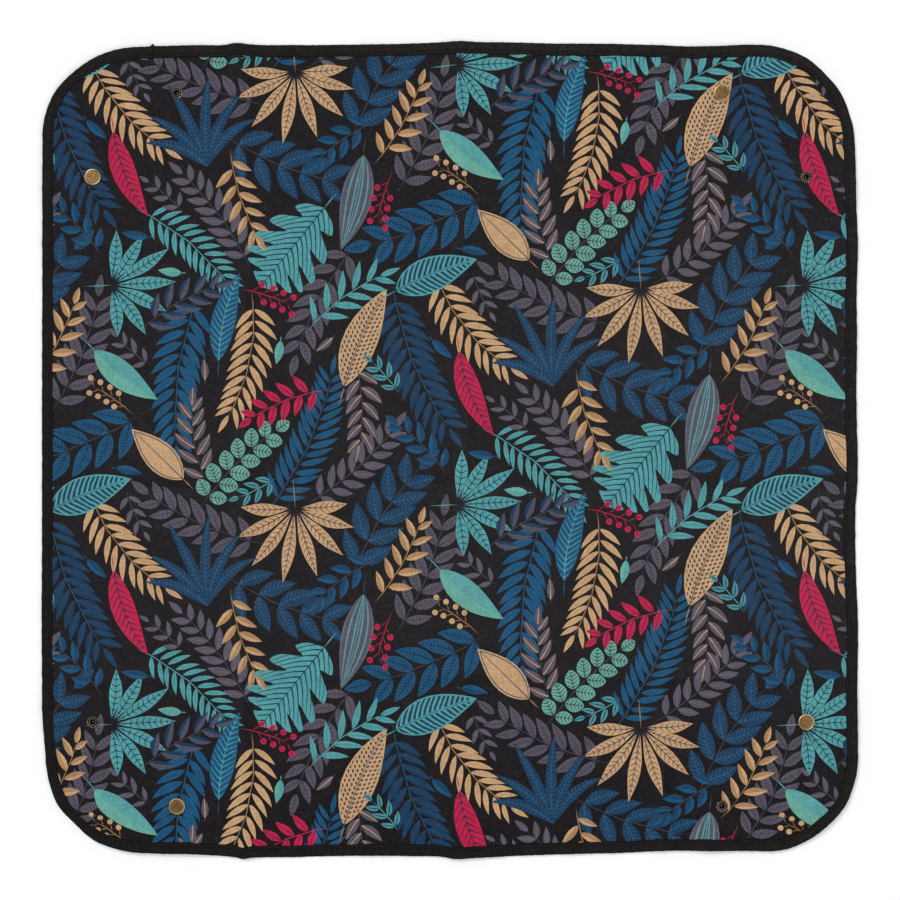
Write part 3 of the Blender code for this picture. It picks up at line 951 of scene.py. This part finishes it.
def leaf_lines(s, place):
    """1 on the drawn lines of the leaves, by each leaf's kind, and 1 on leaves."""
    a, b, _ = s.parts(s.attribute("leaf_place"))
    length, half, peak = s.parts(s.attribute("leaf_form"))
    spacing, slant, width = s.parts(s.attribute("leaf_lines"))
    blunt, kind, on_leaf = s.parts(s.attribute("leaf_kind"))
    across = abs(b)
    t = s.math("DIVIDE", a, length, clamp=True)
    curve = (s.math("POWER", t, peak) * math.pi).sine()
    wide = half * s.math("POWER", s.either(curve, 0.0001), blunt)
    edge = wide - across
    share = across / s.either(wide, 0.1)
    lean = across * s.math("MULTIPLY_ADD", across, VEIN_BOW, slant)
    hand = s.noise(place, 0.12).ranged(0.3, 0.7, -HAND, HAND)
    phase = (a - lean + hand) / spacing
    from_line = abs(s.math("FRACT", phase) - 0.5) * spacing
    rib = across.below(s.math("MULTIPLY_ADD", t, -0.28, 0.5)) * t.below(0.93, 0.03)
    kept_off = s.math("MULTIPLY_ADD", edge * -1.0, 1.0, 0.9).below(0.0, 0.3)
    vein = from_line.below(width * share.ranged(0.0, 1.0, 0.66, 0.3), 0.2) * kept_off
    bar = from_line.below(width * 0.62, 0.2) * ((1.6 - edge).below(0.0, 0.4) * (1.1 - across).below(0.0, 0.3))
    rim = abs(edge - 2.1).below(width * 0.5, 0.15)
    stripe = abs(s.math("FRACT", share * 2.6) - 0.5).below(0.13, 0.06) * kept_off
    dot_v = s.math("FRACT", across / (spacing * 0.8)) - 0.5
    dot_u = s.math("FRACT", phase) - 0.5
    dot = s.math("SQRT", dot_u * dot_u + dot_v * dot_v).below(width, 0.05) * (1.7 - edge).below(0.0, 0.3)
    half_side = (b * -1.0).below(0.0)
    masks = (
        (VEINS, s.either(rib, vein)),
        (BARS, s.either(bar, rib * 0.9)),
        (RIM, s.either(rib, rim)),
        (STRIPES, s.either(rib, stripe)),
        (DOTS, s.either(rib, dot)),
        (HALVES, s.either(half_side * 0.75, rib)),
        (PLAIN, rib * 0.35),
    )
    shown = [s.math("COMPARE", kind, float(number), 0.4) * mask for number, mask in masks]
    return reduce(s.either, shown), on_leaf


def print_material():
    """Printed upper side: inks, leaf drawing, thread grain and weave."""
    s = Surface("printed_cloth_face")
    place = s.place()
    x, y, _ = s.parts(place)
    lines, on_leaf = leaf_lines(s, place)
    ink_grain = s.noise(place, 0.5, 3.0, 0.7)
    worn = s.noise(place, 0.035)
    wash = s.noise(place, 0.13)
    lines = lines * (on_leaf * ink_grain.ranged(0.25, 0.5, 0.78, 1.0))
    inks = s.mix(lines, s.attribute("ink_fill", "Color"), s.attribute("ink_line", "Color"))
    grain = ink_grain.ranged(0.25, 0.75, 0.78, 1.22)
    for scale in ((0.1, 0.8), (0.8, 0.1)):
        grain = grain + s.streaks(place, scale).ranged(0.3, 0.7, -0.08, 0.08)
    grain = grain * (worn.ranged(0.3, 0.7, 0.95, 1.05) * wash.ranged(0.3, 0.7, 0.93, 1.07))
    threads = weave(s, x, y)
    shade = grain * threads.ranged(0.0, 1.0, 0.84, 1.1)
    thin = s.noise(place, 0.75, 2.0, 0.6)
    bare_wear_and_painted_light = thin.ranged(0.44, 0.76, 0.0, BARE_SHOWS) * wash.ranged(0.3, 0.7, 0.6, 1.4)
    crease_worn, painted_flank_facing = creased(s, x, y)
    rubbed = crease_worn * ink_grain.ranged(0.35, 0.65, 0.2, 1.0)
    # Painted light: a pool of light, paler over the middle and the right, darker towards the bottom, the top
    # and the left
    painted_light_pool = y.ranged(-340.0, -150.0, 0.0, 1.0) * y.ranged(120.0, 300.0, 1.0, 0.45)
    painted_light_pool = painted_light_pool * x.ranged(-340.0, 340.0, 0.72, 1.15)
    bare_wear_and_painted_light = bare_wear_and_painted_light + (rubbed * CREASE_SHOWS + painted_light_pool * PAINTED_LIGHT_SHOWS)
    inks = s.mix(bare_wear_and_painted_light, s.scaled(inks, shade), BARE)
    s.bump(threads + ink_grain * 0.8, 0.05, 0.6)
    # Painted shine: the specular level rises on the crease flanks that face the key lamp and drops on those
    # turned away from it
    painted_flank = painted_flank_facing * worn.ranged(0.3, 0.7, 0.5, 1.4)
    gleam_and_painted_shine = s.math("MULTIPLY_ADD", painted_flank, PAINTED_FLANK_SHINE, GLEAM, clamp=True)
    return s.finish(
        Base_Color=inks, Roughness=ink_grain.ranged(0.2, 0.8, 0.72, 0.86), Specular_IOR_Level=gleam_and_painted_shine,
        Sheen_Weight=0.02, Sheen_Roughness=0.5,
    )


def coating_material():
    """Coated back: a thin film through which the weave shows."""
    s = Surface("coated_back_face")
    place = s.place()
    x, y, _ = s.parts(place)
    scuff = s.streaks(place, (0.5, 0.06), 4.0)
    s.bump(weave(s, x, y) * 0.5 + s.noise(place, 0.6, 3.0) * 0.8, 0.05, 0.5)
    cloud = s.noise(place, 0.02, 4.0).ranged(0.35, 0.65, 0.0, 1.0)
    base = s.mix(cloud, colour(58, 60, 62), colour(70, 71, 72))
    base = s.mix(scuff.ranged(0.62, 0.8, 0.0, 0.35), base, colour(104, 104, 104))
    return s.finish(Base_Color=base, Roughness=scuff.ranged(0.3, 0.8, 0.38, 0.6), Specular_IOR_Level=0.4)


def tape_material():
    """Woven binding tape: fine ribs across it, lint, painted shade along its inner edge and on its puckers,
    darker right on the fold and paler just inside it, and painted light that grows from the lower left to the
    upper right.
    """
    s = Surface("binding_tape_weave")
    on_tape = s.attribute("tape_place")
    along, across, _ = s.parts(on_tape)
    place = s.place()
    x, y, _ = s.parts(place)
    rib = abs((along * (math.pi / 0.52)).sine())
    thread = abs((across * (math.pi / 0.4)).sine())
    fuzz = s.noise(place, 1.6, 3.0, 0.7)
    pucker = s.streaks(on_tape, (0.42, 0.07), 3.0, 0.6)
    rows = (abs(across) * (math.pi / 2.9)).sine()
    s.bump(rib * 0.7 + thread * 0.35 + fuzz * 0.35 + pucker * 2.0, 0.09, 0.8)
    base = s.mix(rib * 0.5, colour(16, 13, 13), colour(31, 28, 27))
    base = s.mix(fuzz.ranged(0.55, 0.8, 0.0, 0.3), base, colour(48, 44, 42))
    base = s.mix(s.noise(place, 0.55, 3.0, 0.7).ranged(0.45, 0.8, 0.0, 0.16), base, colour(58, 54, 50))
    from_fold = abs(across - tape_section()[1][FOLD_POINT])
    amount = s.noise(place, 0.05).ranged(0.3, 0.7, 0.85, 1.15)
    for part in (
        rows.ranged(-1.0, 1.0, 0.86, 1.12),
        # Painted light and shade of the tape's puckers
        pucker.ranged(0.3, 0.7, 0.72, 1.28),
        # Painted shade: darker along the tape's inner edge, where it meets the print
        across.ranged(0.8, 2.6, 0.55, 1.0),
        # Darker right on the fold, paler just inside it and fading inwards
        from_fold.ranged(1.1, 1.8, 0.45, 1.1),
        from_fold.ranged(2.2, 9.0, 1.24, 0.84),
        # Painted light: the tape grows lighter from the lower left to the upper right
        (x + y).ranged(-MAT_HALF, MAT_HALF, 0.76, 1.3),
        s.noise(place, 0.75, 2.0, 0.6).ranged(0.33, 0.67, 0.34, 1.66),
    ):
        amount = amount * part
    return s.finish(
        Base_Color=s.scaled(base, amount), Roughness=fuzz.ranged(0.3, 0.7, 0.7, 0.85),
        Specular_IOR_Level=0.09, Sheen_Weight=0.02, Sheen_Roughness=0.4,
    )


def thread_material():
    """Sewing thread: two plies twisted together."""
    s = Surface("sewing_thread")
    along, across, _ = s.parts(s.attribute("thread_place"))
    twist = abs(((along + across * 0.35) * (math.pi / 0.42)).sine())
    s.bump(twist, 0.06, 0.8)
    base = s.mix(twist, colour(14, 13, 13), colour(34, 32, 31))
    rough = s.noise(s.place(), 2.5).ranged(0.3, 0.7, 0.5, 0.68)
    return s.finish(Base_Color=base, Roughness=rough, Specular_IOR_Level=0.25)


# How far apart two fittings' patterns are, times the way between the fittings
PATTERN_APART = 97.0


def metal_material(name, face, worn, hollow_painted_shade, bands, rough, hollow, petals=0):
    """Turned and tumbled metal: mottled face, rim bands that are worn and also a painted highlight, broad
    patches of painted reflection, a hollow painted dark as shade, fine scratches.
    """
    s = Surface(name)
    place = s.place()
    x, y, z = s.parts(place)
    radius = s.math("SQRT", x * x + y * y)
    brushed = s.streaks(place, (0.5, 5.0), 4.0)
    crossed = s.streaks(place, (4.0, 0.6), 4.0, turn=0.5)
    shift = s.scaled(s.value("ObjectInfo", output="Location"), PATTERN_APART)
    own = s.value("VectorMath", {0: place, 1: shift}, operation="ADD")
    cloud = s.noise(own, 0.5, 4.0, 0.7)
    painted_light_drift = s.noise(own, 0.07, 1.0)
    edge = 0.0
    for at, half in bands:
        edge = s.either(edge, abs(radius - at).below(half, 0.35))
    # Painted highlight: the worn rim bands, broken up at random, also stand in for glints along the rims
    edge = s.math("MULTIPLY", edge, painted_light_drift.ranged(0.4, 0.6, 0.3, 1.0))
    bright, dark = (tuple(c * share for c in face) for share in (1.2, 0.55))
    base = s.mix(cloud.ranged(0.36, 0.62, 0.0, 1.0), bright, dark)
    base = s.mix(brushed.ranged(0.55, 0.72, 0.0, 1.0) * 0.16, base, worn)
    base = s.scaled(base, s.noise(own, 1.3, 2.0, 0.8).ranged(0.34, 0.66, 0.72, 1.28))
    # Painted reflection: broad darker and lighter patches over each fitting
    base = s.scaled(base, painted_light_drift.ranged(0.36, 0.64, 0.66, 1.34))
    base = s.mix(edge, base, worn)
    # Painted shade: the hollow and the gaps between an eyelet's petals take a darker colour
    base = s.mix(radius.below(hollow, 0.5), base, hollow_painted_shade)
    if petals:
        turn = abs((s.math("ARCTAN2", y, x) * (petals / 2)).sine())
        gap = turn.below(0.36, 0.3) * s.math("MULTIPLY_ADD", radius - PETALS_FROM, 1 / 0.3, 0.5, clamp=True)
        base = s.mix(gap, base, hollow_painted_shade)
    scratch = brushed * 0.6 + crossed * 0.4
    s.bump(scratch + cloud * 3.0, 0.1, 0.8)
    roughness = scratch.ranged(0.3, 0.7, rough - 0.08, rough + 0.1) + edge * -0.1
    return s.finish(Base_Color=base, Metallic=1.0, Roughness=roughness)


# Pieces
def put(mesh, name, body, nodes=(), place=(0, 0, 0), materials=()):
    """One piece on its body, standing for its CAD nodes."""
    for material in materials:
        mesh.materials.append(material)
    made = bpy.data.objects.new(name, mesh)
    bpy.context.scene.collection.objects.link(made)
    made.location = place
    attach(made, body)
    if nodes:
        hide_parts(*nodes)
    return made


def tape_section():
    """The folded tape round the cloth's edge: (outward from the edge, height, way along the fold)."""
    outer = [(-12.0, 0.36), (-12.0, 0.72), (-11.75, 0.88), (-11.3, 0.93), (-10.8, 0.86), (-10.3, 0.78),
             (-9.8, 0.86), (-9.2, 0.95), (-7.5, 1.02), (-5.0, 1.08), (-2.6, 1.15), (-1.3, 1.12),
             (-0.6, 0.95), (-0.2, 0.62), (-0.03, 0.3)]
    inner = [(-1.05, 0.0), (-1.2, 0.3), (-1.8, 0.5), (-5.0, 0.45), (-9.0, 0.35), (-11.4, 0.34)]
    ring = outer + [(0.0, 0.0)] + [(n, -z) for n, z in reversed(outer)]
    ring += [(n, -z) for n, z in reversed(inner[1:])] + inner
    walk, done = [0.0], 0.0
    for (n0, z0), (n1, z1) in zip(ring, ring[1:]):
        done += math.hypot(n1 - n0, z1 - z0)
        walk.append(done)
    return ring, walk


def lapped(ring, extra):
    """The tape's section with its outer side thicker, but not under the seam."""
    skin = np.array(ring[:OUTER_SIDE])
    along = np.gradient(skin, axis=0)
    along /= np.linalg.norm(along, axis=1, keepdims=True)
    normal = np.stack([-along[:, 1], along[:, 0]], axis=1)
    amount = extra * smooth((skin[:, :1] + SEAM_IN - 0.4) / 2.0) + 0.03
    return np.concatenate([skin + normal * amount, ring[OUTER_SIDE:]])


def edge_walk(body):
    """Places and outward directions along the mat's edge within one body."""
    if body.endswith("_wall"):
        index = WALLS.index(body.split("_")[0])
        count = int(2 * WALL_HALF / TAPE_STEP)
        line = [(complex(x, MAT_HALF), 1j) for x in np.linspace(WALL_HALF, -WALL_HALF, count)]
        mirror = False
    else:
        wall, other = body.split("_gusset_")
        index = WALLS.index(wall)
        mirror = other == WALLS[index - 1]
        count = int((ARC_CENTRE - WALL_HALF) / TAPE_STEP)
        line = []
        for angle in np.linspace(math.pi / 4, math.pi / 2, 30):
            out = cmath.rect(1.0, angle)
            line.append((complex(ARC_CENTRE, ARC_CENTRE) + CORNER_RADIUS * out, out))
        line += [(complex(x, MAT_HALF), 1j) for x in np.linspace(ARC_CENTRE, WALL_HALF, count)[1:]]
        if mirror:
            line = [(-p.conjugate(), -out.conjugate()) for p, out in line][::-1]
    turn = (-1j) ** index
    return [(p * turn, out * turn) for p, out in line]


def way_round(place):
    """A distance that grows along every side, for small waves that follow the edge."""
    return place.real * 1.3 + place.imag * 0.7


def inner_shift(place, out, across):
    """How far parts of the tape's section lie out, less than BEND_IN from the edge not at all."""
    spot = way_round(place)
    shift = 0.25 * math.sin(spot / 9.1) + 0.2 * math.sin(spot / 4.3 + 1)
    for side, part in (("north", out.imag), ("east", out.real), ("south", -out.imag), ("west", -out.real)):
        shift += NARROW[side] * max(part, 0) ** 2
    return shift * smooth((-across - BEND_IN) / 5)


def tube_faces(rows, size, start=0):
    """Faces of a closed tube: rows of size points each, with a face over both ends."""
    faces = []
    for i in range(rows - 1):
        for k in range(size):
            a, b = start + i * size + k, start + i * size + (k + 1) % size
            faces.append((a, b, b + size, a + size))
    last = start + (rows - 1) * size
    return faces + [tuple(range(start, start + size))[::-1], tuple(range(last, last + size))]


def tube_mesh(name, points, faces, layer, run, angle):
    """A mesh whose points know their place on the tape or the thread."""
    mesh = bpy.data.meshes.new(name)
    mesh.from_pydata((points * MM).tolist(), [], faces)
    mesh.attributes.new(layer, "FLOAT_VECTOR", "POINT").data.foreach_set("vector", np.ravel(run))
    tidy_normals(mesh, angle)
    return mesh


def tape_mesh(body, line, lap=None):
    """Folded tape along a line of edge places; lap gives its extra thickness at a place."""
    ring, walk = tape_section()
    rows, run, done = [], [], 0.0
    for i, (place, out) in enumerate(line):
        across, height = np.array(lapped(ring, lap(place)) if lap else ring).T
        if i:
            done += abs(place - line[i - 1][0])
        spot = way_round(place)
        plump = 1 + 0.05 * math.sin(spot / 6.7) + 0.03 * math.sin(spot / 2.9)
        fray = 0.09 * math.sin(spot / 1.9) + 0.07 * math.sin(spot / 1.13 + 2)
        shift = inner_shift(place, out, across) + fray * smooth((across + 2) / 1.5)
        flat = place + (across + shift) * out
        rows.append(laid(flat.real, flat.imag, height * plump))
        run += [(done, w, 0.0) for w in walk]
    faces = tube_faces(len(line), len(ring))
    return tube_mesh("edge_tape_" + body, np.concatenate(rows), faces, "tape_place", run, 60)


def tidy_normals(mesh, angle):
    """Faces all turned outwards, smooth but for edges sharper than an angle in degrees."""
    bm = bmesh.new()
    bm.from_mesh(mesh)
    bmesh.ops.recalc_face_normals(bm, faces=bm.faces)
    bm.to_mesh(mesh)
    bm.free()
    mesh.shade_smooth()
    mesh.set_sharp_from_angle(angle=math.radians(angle))


def join_mesh():
    """Where the tape's ends overlap: the upper end folded under, a small nub on the edge."""
    line = [(complex(x, MAT_HALF), 1j) for x in np.linspace(JOIN_AT + JOIN_HALF, JOIN_AT - JOIN_HALF, 25)]

    def lap(place):
        off = place.real - JOIN_AT
        return 0.28 + 1.9 * math.exp(-((off / 1.5) ** 2))

    return tape_mesh(JOIN_BODY, line, lap)


# One stitch: (share of its length, rise of its middle over the tape, thickness)
STITCH = ((-0.5, -0.34, 0.35), (-0.46, -0.14, 0.8), (-0.3, 0.06, 1.0), (0.0, 0.1, 1.05),
          (0.3, 0.06, 1.0), (0.46, -0.14, 0.8), (0.5, -0.34, 0.35))
THREAD_SIDES = 6
THREAD_FLAT = 0.85
SEAM_HEIGHT = 0.9
SEAM_ENDS = 0.05
# The lower face's stitches come a little later, and each stitch leans its own way
LOWER_LATER = 0.04
LEAN = 0.12


def seam_mesh(body):
    """A row of stitches on each face of the tape, every stitch dipping in at both ends."""
    places = np.array([p + (inner_shift(p, out, -SEAM_IN) - SEAM_IN) * out for p, out in edge_walk(body)])
    walk = np.concatenate([[0], np.cumsum(np.abs(np.diff(places)))])
    count = int(walk[-1] / (STITCH_LENGTH + STITCH_GAP))
    pitch = walk[-1] / count

    def seam_at(distance):
        return np.interp(distance, walk, places.real) + 1j * np.interp(distance, walk, places.imag)

    side, number, row, k = np.meshgrid(
        (1, -1), range(count), range(len(STITCH)), range(THREAD_SIDES), indexing="ij")
    share, rise, thick = np.moveaxis(np.array(STITCH)[row], -1, 0)
    middle = (number + 0.5 + np.where(side > 0, 0.0, LOWER_LATER)) * pitch
    at = np.clip(middle + share * STITCH_LENGTH, SEAM_ENDS, walk[-1] - SEAM_ENDS)
    along = seam_at(at + 0.5) - seam_at(at - 0.5)
    angle = 2 * math.pi * k / THREAD_SIDES
    off = THREAD_RADIUS * thick
    lean = LEAN * np.sin(number * 2.3) * share
    flat = np.ravel(seam_at(at) + along / abs(along) * 1j * (off * np.cos(angle) + lean))
    height = np.ravel(side * (SEAM_HEIGHT + rise + off * np.sin(angle) * THREAD_FLAT))
    faces = []
    for start in range(0, flat.size, len(STITCH) * THREAD_SIDES):
        faces += tube_faces(len(STITCH), THREAD_SIDES, start)
    run = np.stack([at, angle, 0 * at], axis=-1)
    return tube_mesh("seam_" + body, laid(flat.real, flat.imag, height), faces, "thread_place", run, 80)


# The fittings' sections: (radius, height over the cloth's middle)
SEAT = 0.55
SOCKET_MOUTH = 3.55
ROLL_TOP = 1.10
ROLL_BOTTOM = 1.40
KNOB_TIP = 3.30
STUD_FACE = 1.15
TURN_STEPS = 72
PETALS = 9
PETALS_FROM = 3.7
PETAL_CUT = 0.06
PETAL_DIP = 0.22
WIRE_RADIUS = 0.3
WIRE_AT = (2.9, -2.95)
WIRE_SIDES = 12
METAL_SHARP = 35


def rounded(points, size, steps=3):
    """A closed section with its corners rounded by a small radius."""
    line = []
    count = len(points)
    for i, here in enumerate(points):
        before, after = np.array(points[i - 1]), np.array(points[(i + 1) % count])
        corner = np.array(here)
        if here[0] < NEAR:
            line.append(tuple(corner))
            continue
        back, ahead = before - corner, after - corner
        reach = min(size, np.linalg.norm(back) * 0.45, np.linalg.norm(ahead) * 0.45)
        start = corner + back / np.linalg.norm(back) * reach
        end = corner + ahead / np.linalg.norm(ahead) * reach
        for k in range(steps + 1):
            t = k / steps
            line.append(tuple((1 - t) ** 2 * start + 2 * t * (1 - t) * corner + t**2 * end))
    return line


def petal_gap(angle):
    """1 in the gaps between the petals round an eyelet, 0 on them."""
    return math.exp(-((math.sin(angle * PETALS / 2) / 0.4) ** 2))


def turned(name, section, petals=False):
    """A solid turned round its upright axis."""
    closed = section[0][0] > NEAR
    bm = bmesh.new()
    points = [bm.verts.new((r * MM, 0, z * MM)) for r, z in section]
    pairs = list(zip(points, points[1:]))
    if closed:
        pairs.append((points[-1], points[0]))
    edges = [bm.edges.new(pair) for pair in pairs]
    bmesh.ops.spin(bm, geom=points + edges, cent=(0, 0, 0), axis=(0, 0, 1), angle=2 * math.pi,
                   steps=TURN_STEPS, use_merge=True)
    if petals:
        for v in bm.verts:
            out = math.hypot(v.co.x, v.co.y) / MM
            gap = petal_gap(math.atan2(v.co.y, v.co.x)) * smooth((out - PETALS_FROM) / 0.8)
            if v.co.z > (SEAT + 0.05) * MM:
                narrow = 1 - PETAL_CUT * gap
                v.co = Vector((v.co.x * narrow, v.co.y * narrow, v.co.z - PETAL_DIP * MM * gap))
    middle = [v for v in bm.verts if math.hypot(v.co.x, v.co.y) < NEAR * MM]
    bmesh.ops.remove_doubles(bm, verts=middle, dist=NEAR * MM)
    mesh = bpy.data.meshes.new(name)
    bm.to_mesh(mesh)
    bm.free()
    tidy_normals(mesh, METAL_SHARP)
    return mesh


def cap_section():
    return rounded([
        (0, 1.74), (3.5, 1.71), (5.6, 1.62), (6.0, 1.64), (6.25, 1.78), (6.5, 1.84), (6.8, 1.78),
        (7.15, 1.60), (7.42, 1.36), (7.5, 1.1), (7.5, 0.8), (7.1, SEAT), (2.2, SEAT),
        (2.2, -ROLL_TOP), (2.8, -ROLL_TOP), (2.8, -ROLL_BOTTOM), (1.5, -ROLL_BOTTOM), (1.5, -0.3), (0, 0),
    ], size=0.16)


def socket_section():
    return rounded([
        (2.45, -SEAT), (6.2, -SEAT), (6.2, -1.35), (4.8, -1.35), (4.8, -3.05), (4.3, -SOCKET_MOUTH),
        (3.2, -SOCKET_MOUTH), (3.1, -3.45), (3.1, -3.35), (3.45, -3.35), (3.45, -2.55), (3.1, -2.55),
        (3.1, -0.85), (2.45, -0.85),
    ], size=0.15)


def stud_section():
    return rounded([
        (1.75, -SEAT), (5.8, -SEAT), (5.8, -STUD_FACE), (2.45, -STUD_FACE), (2.45, -2.13), (2.9, -2.43),
        (2.9, -2.95), (2.55, -KNOB_TIP), (2.3, -KNOB_TIP), (2.3, -2.5), (1.75, -2.5),
    ], size=0.15)


def eyelet_section():
    return rounded([
        (1.5, SEAT), (5.3, SEAT), (5.5, 0.75), (5.3, 0.95), (5.0, 0.97), (4.75, 0.88), (4.2, 0.80),
        (3.85, 0.86), (3.6, 1.10), (3.3, 1.24), (2.9, 1.25), (2.5, 1.20), (2.1, 1.0), (1.6, 0.3),
        (0.7, -0.9), (0.45, -3.05), (2.0, -3.05), (2.0, -2.75), (1.5, -2.75),
    ], size=0.12)


def spring_section():
    radius, height = WIRE_AT
    angles = np.linspace(0, 2 * math.pi, WIRE_SIDES + 1)[:-1]
    return [(radius + WIRE_RADIUS * math.cos(a), height + WIRE_RADIUS * math.sin(a)) for a in angles]


# Sheet sizes: the cut, before the edge is bound
def flat_size(line):
    """Width and length of a panel's cut."""
    places = np.array(line)
    return np.ptp(places.real) * MM, np.ptp(places.imag) * MM


def build_mat():
    face, back = print_material(), coating_material()
    tape, thread = tape_material(), thread_material()
    # The worn colours are also painted highlight on the rim bands; the last colour is painted shade in the
    # hollows, near-black in the eyelet
    brass = metal_material("cap_brass", colour(118, 93, 60), colour(186, 162, 118), colour(118, 93, 60),
                           [(6.95, 0.45)], 0.46, -1.0)
    bronze = metal_material("eyelet_bronze", colour(52, 45, 40), colour(134, 122, 110), colour(6, 5, 5),
                            [(2.8, 0.1), (4.75, 0.3)], 0.36, 2.3, PETALS)
    gunmetal = metal_material("socket_gunmetal", colour(98, 92, 87), colour(150, 142, 134),
                              colour(58, 54, 51), [(6.0, 0.2), (4.6, 0.2)], 0.4, 3.2)
    steel = metal_material("spring_wire", colour(146, 146, 148), colour(170, 170, 172), colour(150, 150, 152),
                           [], 0.3, -1.0)
    leaves = repeated(laid_out())
    places, sheets = printed_sheets(leaves)
    outlines = panels()
    for body, (triangles, tops) in sheets.items():
        node = "cloth_" + body
        line = outlines[body]
        mesh = cloth_mesh("printed_" + node, places, triangles, tops, leaves, line)
        cloth = put(mesh, "printed_" + node, body, [node], materials=(face, back))
        if body != "base":
            edge = put(tape_mesh(body, edge_walk(body)), "edge_tape_" + body, body,
                       ["binding_" + body], materials=(tape,))
            seam = put(seam_mesh(body), "seam_" + body, body, materials=(thread,))
        if body == JOIN_BODY:
            put(join_mesh(), "edge_tape_join", body, materials=(tape,))
        width, length = flat_size(line)
        area = min(abs(signed_area(line)) * MM * MM, width * length)
    shapes = {
        "cap": (cap_section(), "snap_brass", brass),
        "socket": (socket_section(), "snap_gunmetal", gunmetal),
        "spring": (spring_section(), "spring_steel", steel),
        "stud": (stud_section(), "snap_gunmetal", gunmetal),
        "eyelet": (eyelet_section(), "snap_gunmetal", bronze),
    }
    meshes = {kind: turned("snap_" + kind, shapes[kind][0], kind == "eyelet") for kind in shapes}
    for kind, (_, _, metal) in shapes.items():
        meshes[kind].materials.append(metal)
    for i, corner in enumerate(CORNERS):
        cap_body = f"{WALLS[i]}_gusset_{WALLS[(i + 1) % 4]}"
        stud_body = f"{WALLS[(i + 1) % 4]}_gusset_{WALLS[i]}"
        for kind, (_, slot, _) in shapes.items():
            body = stud_body if kind in ("stud", "eyelet") else cap_body
            node = f"{kind}_{corner}"
            at = snap_place(node) * MM
            put(meshes[kind], f"snap_{node}", body, [node], (at.real, at.imag, CLOTH_MID * MM))


# Camera, light and floor
PHOTO_WIDTH = 900
PHOTO_SCALE = 750 / 815.7
PHOTO_CENTRE = (449.45, 449.5)
LENS = 85.0
SENSOR = 36.0
CLIP = (0.05, 60)
SKY = (0.97, 0.985, 1.0)
SKY_LIGHT = 0.55
FLOOR_REACH = 20.0
FLOOR_COLOUR = (0.81, 0.81, 0.81)
FLOOR_GLOW = 0.2


def set_camera():
    data = bpy.data.cameras.new("camera")
    data.lens, data.sensor_width = LENS, SENSOR
    camera = bpy.data.objects.new("camera", data)
    bpy.context.scene.collection.objects.link(camera)
    width = PHOTO_WIDTH * PHOTO_SCALE
    off = (PHOTO_WIDTH / 2 - PHOTO_CENTRE[0], PHOTO_CENTRE[1] - PHOTO_WIDTH / 2)
    distance = width * LENS / SENSOR + CLOTH_MID
    camera.location = Vector((off[0] * PHOTO_SCALE, off[1] * PHOTO_SCALE, distance)) * MM
    data.clip_start, data.clip_end = CLIP
    bpy.context.scene.camera = camera


def lamp(name, place, width, strength):
    """A far round lamp that shines from a place on the mat; width is its angle in degrees."""
    data = bpy.data.lights.new(name, "SUN")
    data.angle, data.energy = math.radians(width), strength
    made = bpy.data.objects.new(name, data)
    made.location = place
    made.rotation_euler = (-Vector(place)).to_track_quat("-Z", "Y").to_euler()
    bpy.context.scene.collection.objects.link(made)


def seen_white(nodes):
    """1 for rays that should see the white background."""
    rays = nodes.node("LightPath").outputs
    kinds = ("Camera", "Glossy", "Transmission")
    return reduce(nodes.either, [Value(nodes, rays[f"Is {kind} Ray"]) for kind in kinds])


def set_world():
    world = bpy.data.worlds.new("studio")
    bpy.context.scene.world = world
    world.use_nodes = True
    world.node_tree.nodes.clear()
    nodes = Nodes(world.node_tree)
    light = nodes.value("Background", {0: SKY, 1: SKY_LIGHT})
    white = nodes.value("Background", {0: (1, 1, 1), 1: 1.0})
    nodes.node("OutputWorld", {0: nodes.value("MixShader", {0: seen_white(nodes), 1: light, 2: white})})


def set_floor():
    mesh = bpy.data.meshes.new("floor")
    reach = FLOOR_REACH
    mesh.from_pydata([(-reach, -reach, 0), (reach, -reach, 0), (reach, reach, 0), (-reach, reach, 0)], [],
                     [(0, 1, 2, 3)])
    floor = bpy.data.objects.new("floor", mesh)
    bpy.context.scene.collection.objects.link(floor)
    s = Surface("pale_floor")
    mesh.materials.append(s.finish(Base_Color=FLOOR_COLOUR, Roughness=0.9, Specular_IOR_Level=0.1))
    none, glow = (s.value("Emission", {"Color": (1, 1, 1), "Strength": power}) for power in (0.0, FLOOR_GLOW))
    seen = s.value("MixShader", {0: seen_white(s), 1: none, 2: glow})
    output = next(n for n in s.tree.nodes if n.type == "OUTPUT_MATERIAL")
    s.put(output.inputs[0], s.value("AddShader", {0: Value(s, s.shader.outputs[0]), 1: seen}))


bpy.context.scene.view_settings.view_transform = "Standard"
set_camera()
set_world()
lamp("key", (-1.5, 1.9, 2.2), 24, 1.55)
lamp("fill", (1.8, -1.6, 2.2), 28, 0.55)
set_floor()
build_mat()
